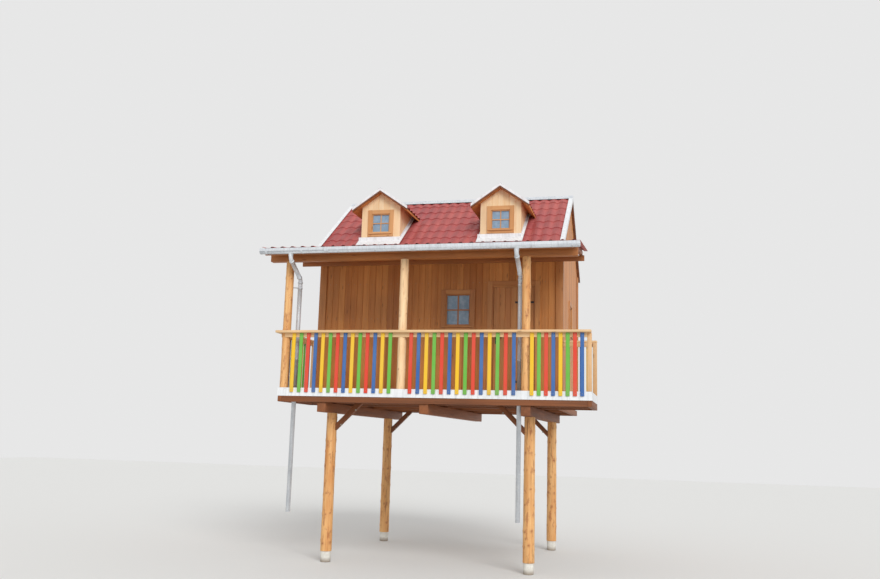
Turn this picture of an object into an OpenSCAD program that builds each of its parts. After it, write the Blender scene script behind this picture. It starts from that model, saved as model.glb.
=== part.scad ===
// A small timber house on peeled log legs, with a covered veranda in front and two gabled dormers.
// X runs along the veranda, Y from the veranda to the back wall, Z up. Millimetres.

/* [Platform] */
// Height of the deck's walking surface above the ground
deck_top = 2865; // [2500:5:3300]
// Thickness of the deck boards
deck_t = 28; // [20:1:45]
// Depth of the floor joists
joist_h = 207; // [150:1:260]
// Width of the floor joists
joist_w = 70; // [50:1:100]
// Distance from the line of posts to the house's front wall
veranda_d = 1400; // [1100:10:1800]
// Place of the middle post along the veranda, from the house's centre line
middle_post_x = -240; // [-400:10:0]
// Centre distance from the left post to the middle post
left_bay = 2060; // [1900:10:2300]
// Centre distance from the middle post to the right post
right_bay = 2060; // [1900:10:2300]
// Centre distance from the right post to the newel at the end of the landing
landing_w = 1010; // [900:10:1400]
// Height of the metal strip along the deck's edge
fascia_h = 135; // [100:1:180]
// Thickness of the metal strip along the deck's edge
fascia_t = 5; // [3:1:10]

/* [Legs] */
// Diameter of a leg at its foot
leg_foot_d = 190; // [160:1:240]
// Diameter of a leg at its top
leg_top_d = 175; // [150:1:220]
// Place of the left legs along the veranda
left_leg_x = -1590; // [-1800:10:-1400]
// Place of the right legs along the veranda
right_leg_x = 1830; // [1700:10:1900]
// Distance of the front legs behind the line of posts
front_leg_y = 500; // [350:10:700]
// Distance of the back legs behind the line of posts
back_leg_y = 3850; // [3400:10:4100]
// Diameter of a round footing
footing_d = 170; // [150:1:300]
// Height of a round footing
footing_h = 180; // [120:5:260]
// Width of a bearer
bearer_w = 150; // [110:1:180]
// Depth of a bearer
bearer_h = 160; // [120:1:220]
// Place of the middle bearer along the veranda
middle_bearer_x = 170; // [-200:10:400]
// Distance of the bearers' ends behind the deck's edges
bearer_inset = 30; // [10:1:80]
// Thickness of a knee brace
brace_t = 80; // [50:1:110]
// Distance that a knee brace reaches out from the leg's centre
brace_reach = 480; // [350:10:650]

/* [Railing] */
// Diameter of a veranda post
post_d = 140; // [110:1:170]
// Width of a square newel
newel_w = 70; // [50:1:90]
// Height of the handrail's top above the deck
rail_top_h = 965; // [850:5:1100]
// Thickness of the handrail
rail_t = 42; // [30:1:60]
// Width of the handrail
rail_w = 110; // [90:1:140]
// Depth of the nailing rail behind the balusters
nailer_h = 70; // [50:1:100]
// Thickness of the nailing rail behind the balusters
nailer_t = 35; // [25:1:45]
// Width of a baluster
baluster_w = 60; // [40:1:75]
// Thickness of a baluster
baluster_t = 22; // [15:1:30]
// Distance that the balusters reach below the deck's surface
baluster_drop = 75; // [40:1:120]
// Centre distance between balusters in the bays between posts
bay_pitch = 131; // [110:1:145]
// Centre distance between balusters on the landing and on the left side
end_pitch = 113; // [100:1:125]
// Number of balusters in each bay between posts
bay_count = 14; // [8:1:14]
// Number of balusters in front of the landing
landing_count = 8; // [4:1:8]
// Number of balusters on the left side of the veranda
side_count = 11; // [6:1:11]
// Number of balusters behind the landing
back_count = 4; // [2:1:4]

/* [House] */
// Width of the house across its outer walls
house_w = 4520; // [4300:10:4560]
// Depth of the house across its outer walls
house_d = 3300; // [3000:10:3800]
// Thickness of a wall
wall_t = 100; // [70:1:140]
// Height of the front wall's outer face above the deck
wall_h = 2710; // [2600:10:3000]
// Height of the loft floor's underside above the deck
loft_h = 2300; // [2150:10:2400]
// Thickness of the loft floor
loft_t = 100; // [60:1:140]
// Width of a corner board
corner_w = 110; // [80:1:150]
// Thickness of a corner board
corner_t = 25; // [15:1:30]

/* [Windows and door] */
// Width of a wall window's opening
window_w = 500; // [400:10:700]
// Height of a wall window's opening
window_h = 620; // [500:10:800]
// Height of a wall window's sill above the deck
window_sill = 1215; // [900:5:1400]
// Place of the front window along the wall
front_window_x = 385; // [250:5:450]
// Distance of the back windows from the house's centre line
back_window_x = 1050; // [800:10:1400]
// Width of a window frame's member
frame_w = 45; // [35:1:60]
// Depth of a window frame in the wall
frame_d = 70; // [50:1:70]
// Width of the casing round a window or door
casing_w = 60; // [40:1:80]
// Thickness of the casing round a window or door
casing_t = 18; // [12:1:22]
// Thickness of the glass
glass_t = 6; // [4:1:10]
// Place of the door along the front wall
door_x = 1400; // [1300:10:1500]
// Width of the door's opening
door_w = 820; // [750:10:900]
// Height of the door's opening
door_h = 1980; // [1850:10:2050]
// Thickness of the door
door_t = 42; // [35:1:55]

/* [Main roof] */
// Pitch of the main roof
roof_pitch = 36; // [32:0.5:40]
// Thickness of the main roof's slab
roof_t = 120; // [90:1:150]
// Distance that the main roof reaches past the front and back walls
eave_over = 200; // [150:5:300]
// Distance that the main roof reaches past the side walls
verge_over = 50; // [40:1:150]
// Width of the ridge cap on each slope
cap_w = 130; // [90:1:180]
// Thickness of the metal flashings
sheet_metal = 4; // [3:1:8]
// Depth of a verge flashing's face
verge_face = 110; // [80:1:115]
// Width of a verge flashing's top flange
verge_flange = 70; // [50:1:100]

/* [Dormers] */
// Distance of each dormer from the house's centre line
dormer_x = 1140; // [1000:10:1300]
// Width of a dormer's face
dormer_w = 754; // [700:2:850]
// Pitch of a dormer's roof
dormer_pitch = 34.6; // [30:0.2:40]
// Height of the main ridge above a dormer's ridge
dormer_drop = 215; // [180:5:300]
// Distance that a dormer's roof reaches past its cheeks
dormer_side_over = 160; // [110:5:200]
// Distance that a dormer's roof reaches past its face
dormer_front_over = 120; // [60:5:180]
// Thickness of a dormer's roof
dormer_roof_t = 70; // [50:1:90]
// Thickness of a dormer's face and cheeks
dormer_wall_t = 60; // [40:1:80]
// Width of a dormer window's opening
dormer_window_w = 380; // [320:5:420]
// Height of a dormer window's opening
dormer_window_h = 390; // [320:5:430]
// Height of a dormer window above the roof at the dormer's face
dormer_sill = 130; // [110:5:170]
// Width of a dormer window frame's member
dormer_frame_w = 34; // [24:1:45]
// Depth of a dormer window frame
dormer_frame_d = 46; // [36:1:58]
// Distance that the apron reaches past the dormer's cheeks
apron_over = 45; // [20:1:90]
// Distance that the apron reaches down the roof from the dormer's face
apron_reach = 170; // [120:5:185]
// Height of the apron's upstand on the dormer's face
apron_up = 60; // [40:1:90]
// Depth of a dormer flashing's face
dormer_flash = 50; // [35:1:60]

/* [Veranda roof] */
// Length of the veranda roof and its gutter
veranda_roof_w = 5420; // [5200:10:5700]
// Pitch of the veranda roof
lean_pitch = 6.5; // [4:0.5:8]
// Gap between the veranda roof and the main eave above it
lean_gap = 12; // [6:1:40]
// Width of the beam on the posts
beam_w = 120; // [90:1:140]
// Depth of the beam on the posts
beam_h = 140; // [110:1:180]
// Distance that the beam stops short of the roof's ends
beam_inset = 60; // [40:1:150]
// Width of a rafter
rafter_w = 60; // [45:1:80]
// Depth of a rafter
rafter_h = 70; // [50:1:100]
// Number of rafters
rafter_count = 10; // [6:1:12]
// Width of the ledger on the wall
ledger_w = 40; // [30:1:60]
// Depth of the ledger on the wall
ledger_h = 100; // [80:1:140]
// Thickness of the roof sheet
sheet_t = 25; // [15:1:40]
// Distance from the line of posts to the eave board's front
eave_reach = 300; // [220:5:360]
// Thickness of the eave board
eave_board_t = 25; // [18:1:35]
// Depth of the eave board
eave_board_h = 120; // [115:1:160]
// Distance that the roof sheet reaches past the eave board
drip = 30; // [15:1:45]

/* [Gutter and downpipes] */
// Width of the gutter
gutter_w = 110; // [95:1:130]
// Depth of the gutter
gutter_h = 92; // [85:1:110]
// Thickness of the gutter's metal
gutter_t = 4; // [3:1:6]
// Distance of the gutter's edge below the top of the eave board
gutter_fall = 22; // [15:1:30]
// Number of gutter brackets
bracket_count = 9; // [5:1:12]
// Width of a gutter bracket
bracket_w = 28; // [18:1:40]
// Thickness of a gutter bracket
bracket_t = 3; // [2:1:5]
// Diameter of a downpipe
pipe_d = 75; // [65:1:80]
// Difference in diameter between a downpipe and the bends that plug into it
bend_step = 4; // [3:1:8]
// Length of the sockets that take the bends
socket_h = 8; // [4:1:12]
// Wall of a downpipe
pipe_wall = 3; // [2:1:5]
// Distance of the downpipes behind the line of posts
pipe_y = 116; // [112:1:140]
// Place of the left downpipe, from the left post
left_pipe_off = 150; // [112:1:180]
// Place of the right downpipe, from the right post
right_pipe_off = -115; // [-140:1:-112]
// Height of the downpipes' lower ends above the ground
pipe_end_h = 820; // [500:10:1200]
// Radius of a downpipe's bends
bend_r = 80; // [60:1:110]
// Angle of a downpipe's bends
bend_angle = 60; // [45:1:70]
// Distance of a downpipe's upper strap below its lower bend
strap_drop = 120; // [80:5:400]
// Length of the collars between a downpipe's lengths
collar_h = 24; // [16:1:28]
// Thickness of a downpipe's collars and straps
collar_t = 5; // [3:1:8]
// Height of the ring of a downpipe's strap
strap_h = 30; // [20:1:50]
// Height of the arm of a downpipe's strap
strap_arm_h = 16; // [10:1:18]
// Clearance of a downpipe in the deck
pipe_gap = 6; // [4:1:12]

/* [Hidden] */

// The log cut that seats a rail on a post, and the side of a cutting block
seat = 0.3;
past = 50;
far = 20000;
// A half of a doubled size
half = 0.5;
// Facets of a round piece
round_n = 48;

// Platform
post_r = post_d * half;
deck_front = -post_r;
deck_under = deck_top - deck_t;
joist_under = deck_under - joist_h;
bearer_under = joist_under - bearer_h;
left_post_x = middle_post_x - left_bay;
right_post_x = middle_post_x + right_bay;
newel_x = right_post_x + landing_w;
deck_left = left_post_x - post_r;
deck_right = newel_x + newel_w * half;
house_left = -house_w * half;
house_right = house_w * half;
house_front = veranda_d;
house_back = veranda_d + house_d;
baluster_face = deck_front - fascia_t;

// Main roof: planes of its underside and its top, mirrored about the ridge
roof_rise = tan(roof_pitch);
roof_vert = roof_t / cos(roof_pitch);
wall_top = deck_top + wall_h;
ridge_y = (house_front + house_back) * half;
eave_y = house_front - eave_over;
back_eave_y = 2 * ridge_y - eave_y;
roof_left = house_left - verge_over;
roof_right = house_right + verge_over;
function roof_under(y) = wall_top + (y - house_front) * roof_rise;
function roof_over(y) = roof_under(y) + roof_vert;
ridge_z = roof_over(ridge_y);

// Dormers
dormer_half = dormer_w * half;
dormer_rise = tan(dormer_pitch);
dormer_vert = dormer_roof_t / cos(dormer_pitch);
dormer_peak = ridge_z - dormer_drop;
dormer_eave_x = dormer_half + dormer_side_over;
dormer_soffit = dormer_peak - dormer_vert - dormer_half * dormer_rise;
cheek_back = house_front + (dormer_soffit - roof_over(house_front)) / roof_rise;
dormer_foot = roof_over(house_front);

// Veranda roof, hung from the main eave downwards
lean_rise = tan(lean_pitch);
lean_half = veranda_roof_w * half;
sheet_end = eave_y + beam_w * half;
beam_top = roof_under(eave_y) - lean_gap - sheet_t - rafter_h - sheet_end * lean_rise;
beam_under = beam_top - beam_h;
function rafter_under(y) = beam_top + (y + beam_w * half) * lean_rise;
function rafter_over(y) = rafter_under(y) + rafter_h;
eave_board_back = -eave_reach + eave_board_t;
ledger_top = rafter_under(house_front - ledger_w);
ledger_under = ledger_top - ledger_h;

// Gutter and downpipes
gutter_top = rafter_over(-eave_reach) - gutter_fall;
gutter_y = -eave_reach - gutter_w * half;
gutter_under = gutter_top - gutter_h;
outlet_drop = 45;
pipe_top = gutter_under - outlet_drop;
left_pipe_x = left_post_x + left_pipe_off;
right_pipe_x = right_post_x + right_pipe_off;
bend_out = bend_r * (1 - cos(bend_angle));
bend_down = bend_r * sin(bend_angle);
slant = (pipe_y - gutter_y - 2 * bend_out) / sin(bend_angle);
neck_z = pipe_top - bend_down;
back_z = neck_z - slant * cos(bend_angle);
low_z = back_z - bend_down;

// The middle of the whole outline, which is brought over the origin
mid_x = (deck_right + fascia_t - lean_half) * half;
mid_y = (house_back + eave_over + gutter_y - gutter_w * half - bracket_t) * half;

// Moves a piece so that the ground under the outline's middle is the origin
module placed() {
    translate([-mid_x, -mid_y, 0]) children();
}

// A block between two corners
module block(low, high) {
    translate(low) cube(high - low);
}

// A shape drawn across the house, seen from its right end, and drawn out from x0 to x1
module across(x0, x1) {
    translate([x0, 0, 0]) rotate([90, 0, 90]) linear_extrude(height = x1 - x0) children();
}

// A shape drawn as seen from the front, and drawn out from y0 to y1
module along(y0, y1) {
    translate([0, y1, 0]) rotate([90, 0, 0]) linear_extrude(height = y1 - y0) children();
}

// The same piece on the front half and on the back half of the house
module both_slopes() {
    children();
    translate([0, 2 * ridge_y, 0]) mirror([0, 1, 0]) children();
}

// The platform's outline, m wider all round
module deck_outline(m) {
    polygon([
        [deck_left - m, deck_front - m],
        [deck_right + m, deck_front - m],
        [deck_right + m, house_front + m],
        [house_right + m, house_front + m],
        [house_right + m, house_back + m],
        [house_left - m, house_back + m],
        [house_left - m, house_front + m],
        [deck_left - m, house_front + m]
    ]);
}

// Round footings under the four legs
module footings() {
    placed() color("gainsboro")
        for (x = [left_leg_x, right_leg_x], y = [front_leg_y, back_leg_y])
            translate([x, y, 0]) cylinder(h = footing_h, d = footing_d, $fn = round_n);
}

// A peeled log leg, m thicker all round
module leg_shape(x, y, m = 0) {
    leg_h = bearer_under - footing_h;
    translate([x, y, footing_h])
        cylinder(h = leg_h, d1 = leg_foot_d + 2 * m, d2 = leg_top_d + 2 * m, $fn = round_n);
}

module legs() {
    placed() color("peru")
        for (x = [left_leg_x, right_leg_x], y = [front_leg_y, back_leg_y]) leg_shape(x, y);
}

// A brace from a leg up to the joist over it; side is 1 to the right and -1 to the left
module knee_brace(x, y, side) {
    step = brace_t / sqrt(2);
    foot = joist_under - brace_reach;
    difference() {
        along(y - brace_t * half, y + brace_t * half) polygon([
            [x, foot - step],
            [x + side * (brace_reach + step), joist_under],
            [x + side * (brace_reach - step), joist_under],
            [x, foot + step]
        ]);
        leg_shape(x, y, seat);
    }
}

module knee_braces() {
    placed() color("saddlebrown")
        for (y = [front_leg_y, back_leg_y]) {
            knee_brace(left_leg_x, y, 1);
            knee_brace(right_leg_x, y, -1);
        }
}

// Timbers from front to back, on the legs and under the middle of the floor
module bearers() {
    placed() color("saddlebrown")
        for (x = [left_leg_x, middle_bearer_x, right_leg_x])
            block(
                [x - bearer_w * half, deck_front + bearer_inset, bearer_under],
                [x + bearer_w * half, house_back - bearer_inset, joist_under]
            );
}

// Joists along the veranda: three under the veranda and three under the house
module floor_joists() {
    under_legs = joist_w * half;
    house_mid = (house_front + back_leg_y) * half;
    placed() color("sienna") {
        for (y = [deck_front, front_leg_y - under_legs, house_front - joist_w])
            block(
                [deck_left + joist_w, y, joist_under],
                [deck_right - joist_w, y + joist_w, deck_under]
            );
        for (y = [house_mid, back_leg_y - under_legs, house_back - joist_w])
            block(
                [house_left + joist_w, y, joist_under],
                [house_right - joist_w, y + joist_w, deck_under]
            );
    }
}

// Beams along the platform's side edges, over the joists' ends
module edge_beams() {
    placed() color("sienna") {
        for (x = [deck_left, deck_right - joist_w])
            block([x, deck_front, joist_under], [x + joist_w, house_front, deck_under]);
        for (x = [house_left, house_right - joist_w])
            block([x, house_front, joist_under], [x + joist_w, house_back, deck_under]);
    }
}

// The boarded floor of the veranda, landing and house, with a hole for each downpipe
module deck() {
    placed() color("burlywood") difference() {
        translate([0, 0, deck_under]) linear_extrude(height = deck_t) deck_outline(0);
        for (x = [left_pipe_x, right_pipe_x])
            translate([x, pipe_y, deck_under - past])
                cylinder(h = deck_t + 2 * past, d = pipe_d + 2 * pipe_gap, $fn = round_n);
    }
}

// The metal strip round the deck's edge
module deck_fascia() {
    placed() color("gainsboro") translate([0, 0, deck_top - fascia_h]) difference() {
        linear_extrude(height = fascia_h) deck_outline(fascia_t);
        translate([0, 0, -past]) linear_extrude(height = fascia_h + 2 * past) deck_outline(0);
    }
}

// A round veranda post, m thicker all round
module post_shape(x, m = 0) {
    translate([x, 0, deck_top])
        cylinder(h = beam_under - deck_top, d = post_d + 2 * m, $fn = round_n);
}

module left_post() {
    placed() color("peru") post_shape(left_post_x);
}

module middle_post() {
    placed() color("wheat") post_shape(middle_post_x);
}

module right_post() {
    placed() color("peru") post_shape(right_post_x);
}

// Heights shared by the railing's pieces
rail_under = deck_top + rail_top_h - rail_t;
nailer_under = rail_under - nailer_h;
baluster_under = deck_top - baluster_drop;

module newel(x, y) {
    block([x - newel_w * half, y, deck_top], [x + newel_w * half, y + newel_w, rail_under]);
}

// Square posts at the landing's two outer corners and at the house's left front corner
module newels() {
    placed() color("burlywood") {
        newel(newel_x, deck_front);
        newel(newel_x, house_front - newel_w);
        newel(deck_left + newel_w * half, house_front - newel_w);
    }
}

// The flat rail on top of the balusters, let in round the posts
module handrails() {
    rail_front = baluster_face + nailer_t - rail_w;
    rail_back = baluster_face + nailer_t;
    side_out = deck_left - fascia_t + nailer_t - rail_w;
    side_in = deck_left - fascia_t + nailer_t;
    far_back = house_front + fascia_t - nailer_t;
    placed() color("burlywood") {
        difference() {
            translate([0, 0, rail_under]) linear_extrude(height = rail_t) polygon([
                [side_out, rail_front],
                [deck_right, rail_front],
                [deck_right, rail_back],
                [side_in, rail_back],
                [side_in, house_front],
                [side_out, house_front]
            ]);
            for (x = [left_post_x, middle_post_x, right_post_x]) post_shape(x, seat);
        }
        block(
            [house_right + corner_t, far_back, rail_under],
            [deck_right, far_back + rail_w, rail_under + rail_t]
        );
    }
}

// The rails that the balusters' heads are nailed to, under the handrail
module nailing_rails() {
    side_face = deck_left - fascia_t;
    back_face = house_front + fascia_t;
    front_back = baluster_face + nailer_t;
    placed() color("burlywood") {
        difference() {
            block(
                [left_post_x, baluster_face, nailer_under],
                [newel_x - newel_w * half, front_back, rail_under]
            );
            for (x = [left_post_x, middle_post_x, right_post_x]) post_shape(x, seat);
        }
        difference() {
            block(
                [side_face, front_back, nailer_under],
                [side_face + nailer_t, house_front - newel_w, rail_under]
            );
            post_shape(left_post_x, seat);
        }
        block(
            [house_right + corner_t, back_face - nailer_t, nailer_under],
            [newel_x - newel_w * half, back_face, rail_under]
        );
    }
}

// The colours that the balusters repeat, from left to right
paints = ["gold", "limegreen", "tomato", "steelblue"];

// A row of balusters along X about the middle x, with the first paint's place in the list
module baluster_row(x, y, count, pitch, first) {
    left = x - (count - 1) * pitch * half - baluster_w * half;
    for (i = [0 : count - 1])
        color(paints[(i + first) % len(paints)])
            translate([left + i * pitch, y, baluster_under])
                cube([baluster_w, baluster_t, rail_under - baluster_under]);
}

// A row of balusters on the deck's front edge, between two places along it
module front_balusters(x0, x1, count, pitch, first) {
    placed() baluster_row((x0 + x1) * half, baluster_face - baluster_t, count, pitch, first);
}

module left_bay_balusters() {
    front_balusters(left_post_x, middle_post_x, bay_count, bay_pitch, 0);
}

module right_bay_balusters() {
    front_balusters(middle_post_x, right_post_x, bay_count, bay_pitch, 2);
}

module landing_balusters() {
    front_balusters(right_post_x, newel_x, landing_count, end_pitch, 0);
}

module back_balusters() {
    middle = (house_right + corner_t + newel_x - newel_w * half) * half;
    placed() baluster_row(middle, house_front + fascia_t, back_count, end_pitch, 1);
}

module side_balusters() {
    middle = (post_r + house_front - newel_w) * half;
    placed() translate([deck_left - fascia_t, middle, 0]) rotate([0, 0, 90])
        baluster_row(0, 0, side_count, end_pitch, 1);
}

// The section of the front wall, or mirrored of the back wall, up to the roof
module wall_section() {
    polygon([
        [house_front, deck_top],
        [house_front + wall_t, deck_top],
        [house_front + wall_t, roof_under(house_front + wall_t)],
        [house_front, wall_top]
    ]);
}

// A window's hole, centred on x and reaching through a wall that faces the front
module window_hole(x) {
    block(
        [x - window_w * half, -past, deck_top + window_sill],
        [x + window_w * half, wall_t + past, deck_top + window_sill + window_h]
    );
}

module front_wall() {
    placed() color("sandybrown") difference() {
        across(house_left, house_right) wall_section();
        translate([0, house_front, 0]) window_hole(front_window_x);
        block(
            [door_x - door_w * half, house_front - past, deck_top - past],
            [door_x + door_w * half, house_front + wall_t + past, deck_top + door_h]
        );
    }
}

module back_wall() {
    placed() color("sandybrown") difference() {
        translate([0, 2 * ridge_y, 0]) mirror([0, 1, 0]) across(house_left, house_right) wall_section();
        for (x = [-back_window_x, back_window_x])
            translate([0, house_back - wall_t, 0]) window_hole(x);
    }
}

// A side wall with its gable; x is its outer face and side says which way that faces
module side_wall(x, side) {
    inner = x - side * wall_t;
    difference() {
        across(min(x, inner), max(x, inner)) polygon([
            [house_front + wall_t, deck_top],
            [house_back - wall_t, deck_top],
            [house_back - wall_t, roof_under(house_front + wall_t)],
            [ridge_y, roof_under(ridge_y)],
            [house_front + wall_t, roof_under(house_front + wall_t)]
        ]);
        translate([x, ridge_y, 0]) rotate([0, 0, side * 90]) window_hole(0);
    }
}

module left_wall() {
    placed() color("sandybrown") side_wall(house_left, -1);
}

module right_wall() {
    placed() color("sandybrown") side_wall(house_right, 1);
}

// The boards on one corner of the house, standing out from both walls
module corner(front_top) {
    block(
        [house_left - corner_t, house_front - corner_t, deck_top],
        [house_left + corner_w, house_front, front_top]
    );
    block(
        [house_left - corner_t, house_front - corner_t, deck_top],
        [house_left, house_front + corner_w, front_top]
    );
}

module corner_boards() {
    back_top = roof_under(house_front - corner_t);
    placed() color("peru")
        for (side = [0, 1]) mirror([side, 0, 0]) {
            corner(ledger_under);
            block(
                [house_left - corner_t, house_front, ledger_under],
                [house_left, house_front + corner_w, wall_top]
            );
            translate([0, 2 * ridge_y, 0]) mirror([0, 1, 0]) corner(back_top);
        }
}

// A window's frame and casing about the origin, facing the front
module window_frame(w, h, member, depth) {
    along(0, depth) difference() {
        square([w, h], center = true);
        square([w - 2 * member, h - 2 * member], center = true);
    }
    along(-casing_t, 0) difference() {
        square([w + 2 * casing_w, h + 2 * casing_w], center = true);
        square([w - member, h - member], center = true);
    }
}

// Puts its children at each wall window, facing outwards
module at_windows() {
    z = deck_top + window_sill + window_h * half;
    translate([front_window_x, house_front, z]) children();
    for (x = [-back_window_x, back_window_x])
        translate([x, house_back, z]) rotate([0, 0, 180]) children();
    translate([house_left, ridge_y, z]) rotate([0, 0, -90]) children();
    translate([house_right, ridge_y, z]) rotate([0, 0, 90]) children();
}

module window_frames() {
    placed() color("peru") at_windows() window_frame(window_w, window_h, frame_w, frame_d);
}

// A pane in the middle of a frame's depth
module pane(w, h, member, depth) {
    along(depth * half - glass_t * half, depth * half + glass_t * half)
        square([w - 2 * member, h - 2 * member], center = true);
}

// The panes of the wall windows and of the dormers
module window_glass() {
    placed() color("lightsteelblue") {
        at_windows() pane(window_w, window_h, frame_w, frame_d);
        at_dormer_windows() pane(dormer_window_w, dormer_window_h, dormer_frame_w, dormer_frame_d);
    }
}

// The door's jambs, head and casing
module door_frame() {
    left = door_x - door_w * half;
    right = door_x + door_w * half;
    placed() color("peru") {
        along(house_front, house_front + wall_t) polygon([
            [left, deck_top],
            [left, deck_top + door_h],
            [right, deck_top + door_h],
            [right, deck_top],
            [right - frame_w, deck_top],
            [right - frame_w, deck_top + door_h - frame_w],
            [left + frame_w, deck_top + door_h - frame_w],
            [left + frame_w, deck_top]
        ]);
        along(house_front - casing_t, house_front) polygon([
            [left - casing_w, deck_top],
            [left - casing_w, deck_top + door_h + casing_w],
            [right + casing_w, deck_top + door_h + casing_w],
            [right + casing_w, deck_top],
            [right - frame_w * half, deck_top],
            [right - frame_w * half, deck_top + door_h - frame_w * half],
            [left + frame_w * half, deck_top + door_h - frame_w * half],
            [left + frame_w * half, deck_top]
        ]);
    }
}

// The closed door, seated in its frame
module door() {
    placed() color("peru") block(
        [door_x - door_w * half + frame_w, house_front + casing_t, deck_top],
        [door_x + door_w * half - frame_w, house_front + casing_t + door_t, deck_top + door_h - frame_w]
    );
}

// The floor that the dormers light, between the four walls
module loft_floor() {
    placed() color("burlywood") block(
        [house_left + wall_t, house_front + wall_t, deck_top + loft_h],
        [house_right - wall_t, house_back - wall_t, deck_top + loft_h + loft_t]
    );
}

// The beam on the posts and the ledger on the house's wall
module veranda_beams() {
    reach = lean_half - beam_inset;
    placed() color("saddlebrown") {
        block([-reach, -beam_w * half, beam_under], [reach, beam_w * half, beam_top]);
        block([-reach, house_front - ledger_w, ledger_under], [reach, house_front, ledger_top]);
    }
}

module veranda_rafters() {
    reach = lean_half - beam_inset - rafter_w;
    placed() color("saddlebrown")
        for (i = [0 : rafter_count - 1]) {
            x = -reach + i * 2 * reach / (rafter_count - 1);
            across(x - rafter_w * half, x + rafter_w * half) polygon([
                [eave_board_back, rafter_under(eave_board_back)],
                [house_front, rafter_under(house_front)],
                [house_front, rafter_over(house_front)],
                [eave_board_back, rafter_over(eave_board_back)]
            ]);
        }
}

// The board across the rafters' ends, which carries the gutter
module eave_board() {
    placed() color("saddlebrown") across(-lean_half + beam_inset, lean_half - beam_inset) polygon([
        [-eave_reach, rafter_over(-eave_reach) - eave_board_h],
        [eave_board_back, rafter_over(-eave_reach) - eave_board_h],
        [eave_board_back, rafter_over(eave_board_back)],
        [-eave_reach, rafter_over(-eave_reach)]
    ]);
}

// The roof sheet over the veranda
module veranda_roof() {
    low = -eave_reach - drip;
    placed() color("indianred") across(-lean_half, lean_half) polygon([
        [low, rafter_over(low)],
        [house_front, rafter_over(house_front)],
        [house_front, rafter_over(house_front) + sheet_t],
        [low, rafter_over(low) + sheet_t]
    ]);
}

// A gutter's outer section below z = 0, made smaller all round by m
module gutter_section(m) {
    r = gutter_w * half - m;
    drop = gutter_w * half - gutter_h;
    intersection() {
        union() {
            translate([0, drop]) circle(r = r, $fn = round_n);
            translate([-r, drop]) square([2 * r, gutter_h]);
        }
        translate([-gutter_w, -2 * gutter_h]) square([2 * gutter_w, 2 * gutter_h]);
    }
}

// The gutter with its end caps and outlets
module gutter() {
    placed() color("gainsboro") difference() {
        union() {
            translate([0, gutter_y, gutter_top]) across(-lean_half, lean_half) gutter_section(0);
            for (x = [left_pipe_x, right_pipe_x])
                translate([x, gutter_y, pipe_top])
                    cylinder(h = 2 * outlet_drop, d = pipe_d + 2 * pipe_wall, $fn = round_n);
        }
        translate([0, gutter_y, gutter_top])
            across(-lean_half + gutter_t, lean_half - gutter_t) {
                gutter_section(gutter_t);
                translate([-gutter_w * half + gutter_t, -gutter_t])
                    square([gutter_w - 2 * gutter_t, 2 * gutter_t]);
            }
        for (x = [left_pipe_x, right_pipe_x])
            translate([x, gutter_y, pipe_top - past])
                cylinder(h = outlet_drop + gutter_h, d = pipe_d - 2 * pipe_wall, $fn = round_n);
    }
}

// Straps that hold the gutter to the eave board
module gutter_brackets() {
    reach = lean_half - 2 * beam_inset;
    placed() color("lightgray") translate([0, gutter_y, gutter_top])
        for (i = [0 : bracket_count - 1]) {
            x = -reach + i * 2 * reach / (bracket_count - 1);
            across(x - bracket_w * half, x + bracket_w * half) difference() {
                intersection() {
                    gutter_section(-bracket_t);
                    translate([-gutter_w, -2 * gutter_h])
                        square([gutter_w + gutter_w * half, 2 * gutter_h]);
                }
                gutter_section(0);
            }
        }
}

// A bend of round section d that runs down from the origin and turns towards the house
module bend(d) {
    rotate([90, 0, 90]) translate([bend_r, 0, 0]) rotate([0, 0, 180])
        rotate_extrude(angle = bend_angle, $fn = 2 * round_n)
            translate([bend_r, 0]) circle(d = d, $fn = round_n);
}

// A downpipe's way at x with round section d, from the outlet back to the post and down; it
// runs on by extra at both ends
module pipe_way(x, d, extra) {
    translate([x, gutter_y, pipe_top]) {
        if (extra > 0) cylinder(h = extra, d = d, $fn = round_n);
        bend(d - bend_step);
    }
    translate([x, gutter_y + bend_out, neck_z]) rotate([bend_angle, 0, 0])
        translate([0, 0, -slant - socket_h])
            cylinder(h = slant + 2 * socket_h, d = d, $fn = round_n);
    translate([x, pipe_y, low_z]) mirror([0, 0, 1]) mirror([0, 1, 0]) bend(d - bend_step);
    translate([x, pipe_y, pipe_end_h - extra])
        cylinder(h = low_z - pipe_end_h + extra + socket_h, d = d, $fn = round_n);
}

// A disc round the pipe, up from the origin
module collar(height) {
    cylinder(h = height, d = pipe_d + 2 * collar_t, $fn = round_n);
}

// A downpipe at x with its collars, and straps to the post at post_x
module downpipe(x, post_x) {
    reach = sqrt(pow(post_x - x, 2) + pow(pipe_y, 2));
    turn = atan2(-pipe_y, post_x - x);
    difference() {
        union() {
            pipe_way(x, pipe_d, 0);
            translate([x, gutter_y + bend_out, neck_z]) rotate([bend_angle, 0, 0]) {
                translate([0, 0, -collar_h]) collar(collar_h);
                translate([0, 0, -slant]) collar(collar_h);
            }
            translate([x, pipe_y, low_z - collar_h]) collar(collar_h);
            for (z = [deck_top + rail_top_h * half, low_z - strap_drop]) {
                translate([x, pipe_y, z]) collar(strap_h);
                translate([x, pipe_y, z + (strap_h - strap_arm_h) * half]) rotate([0, 0, turn])
                    translate([0, -collar_t, 0]) cube([reach, 2 * collar_t, strap_arm_h]);
            }
        }
        pipe_way(x, pipe_d - 2 * pipe_wall, past);
        post_shape(post_x, seat);
    }
}

module downpipes() {
    placed() color("lightgray") {
        downpipe(left_pipe_x, left_post_x);
        downpipe(right_pipe_x, right_post_x);
    }
}

// The section of one slope of the main roof, seen from the right end
module slope_section() {
    polygon([
        [eave_y, roof_under(eave_y)],
        [ridge_y, roof_under(ridge_y)],
        [ridge_y, ridge_z],
        [eave_y, roof_over(eave_y)]
    ]);
}

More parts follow.
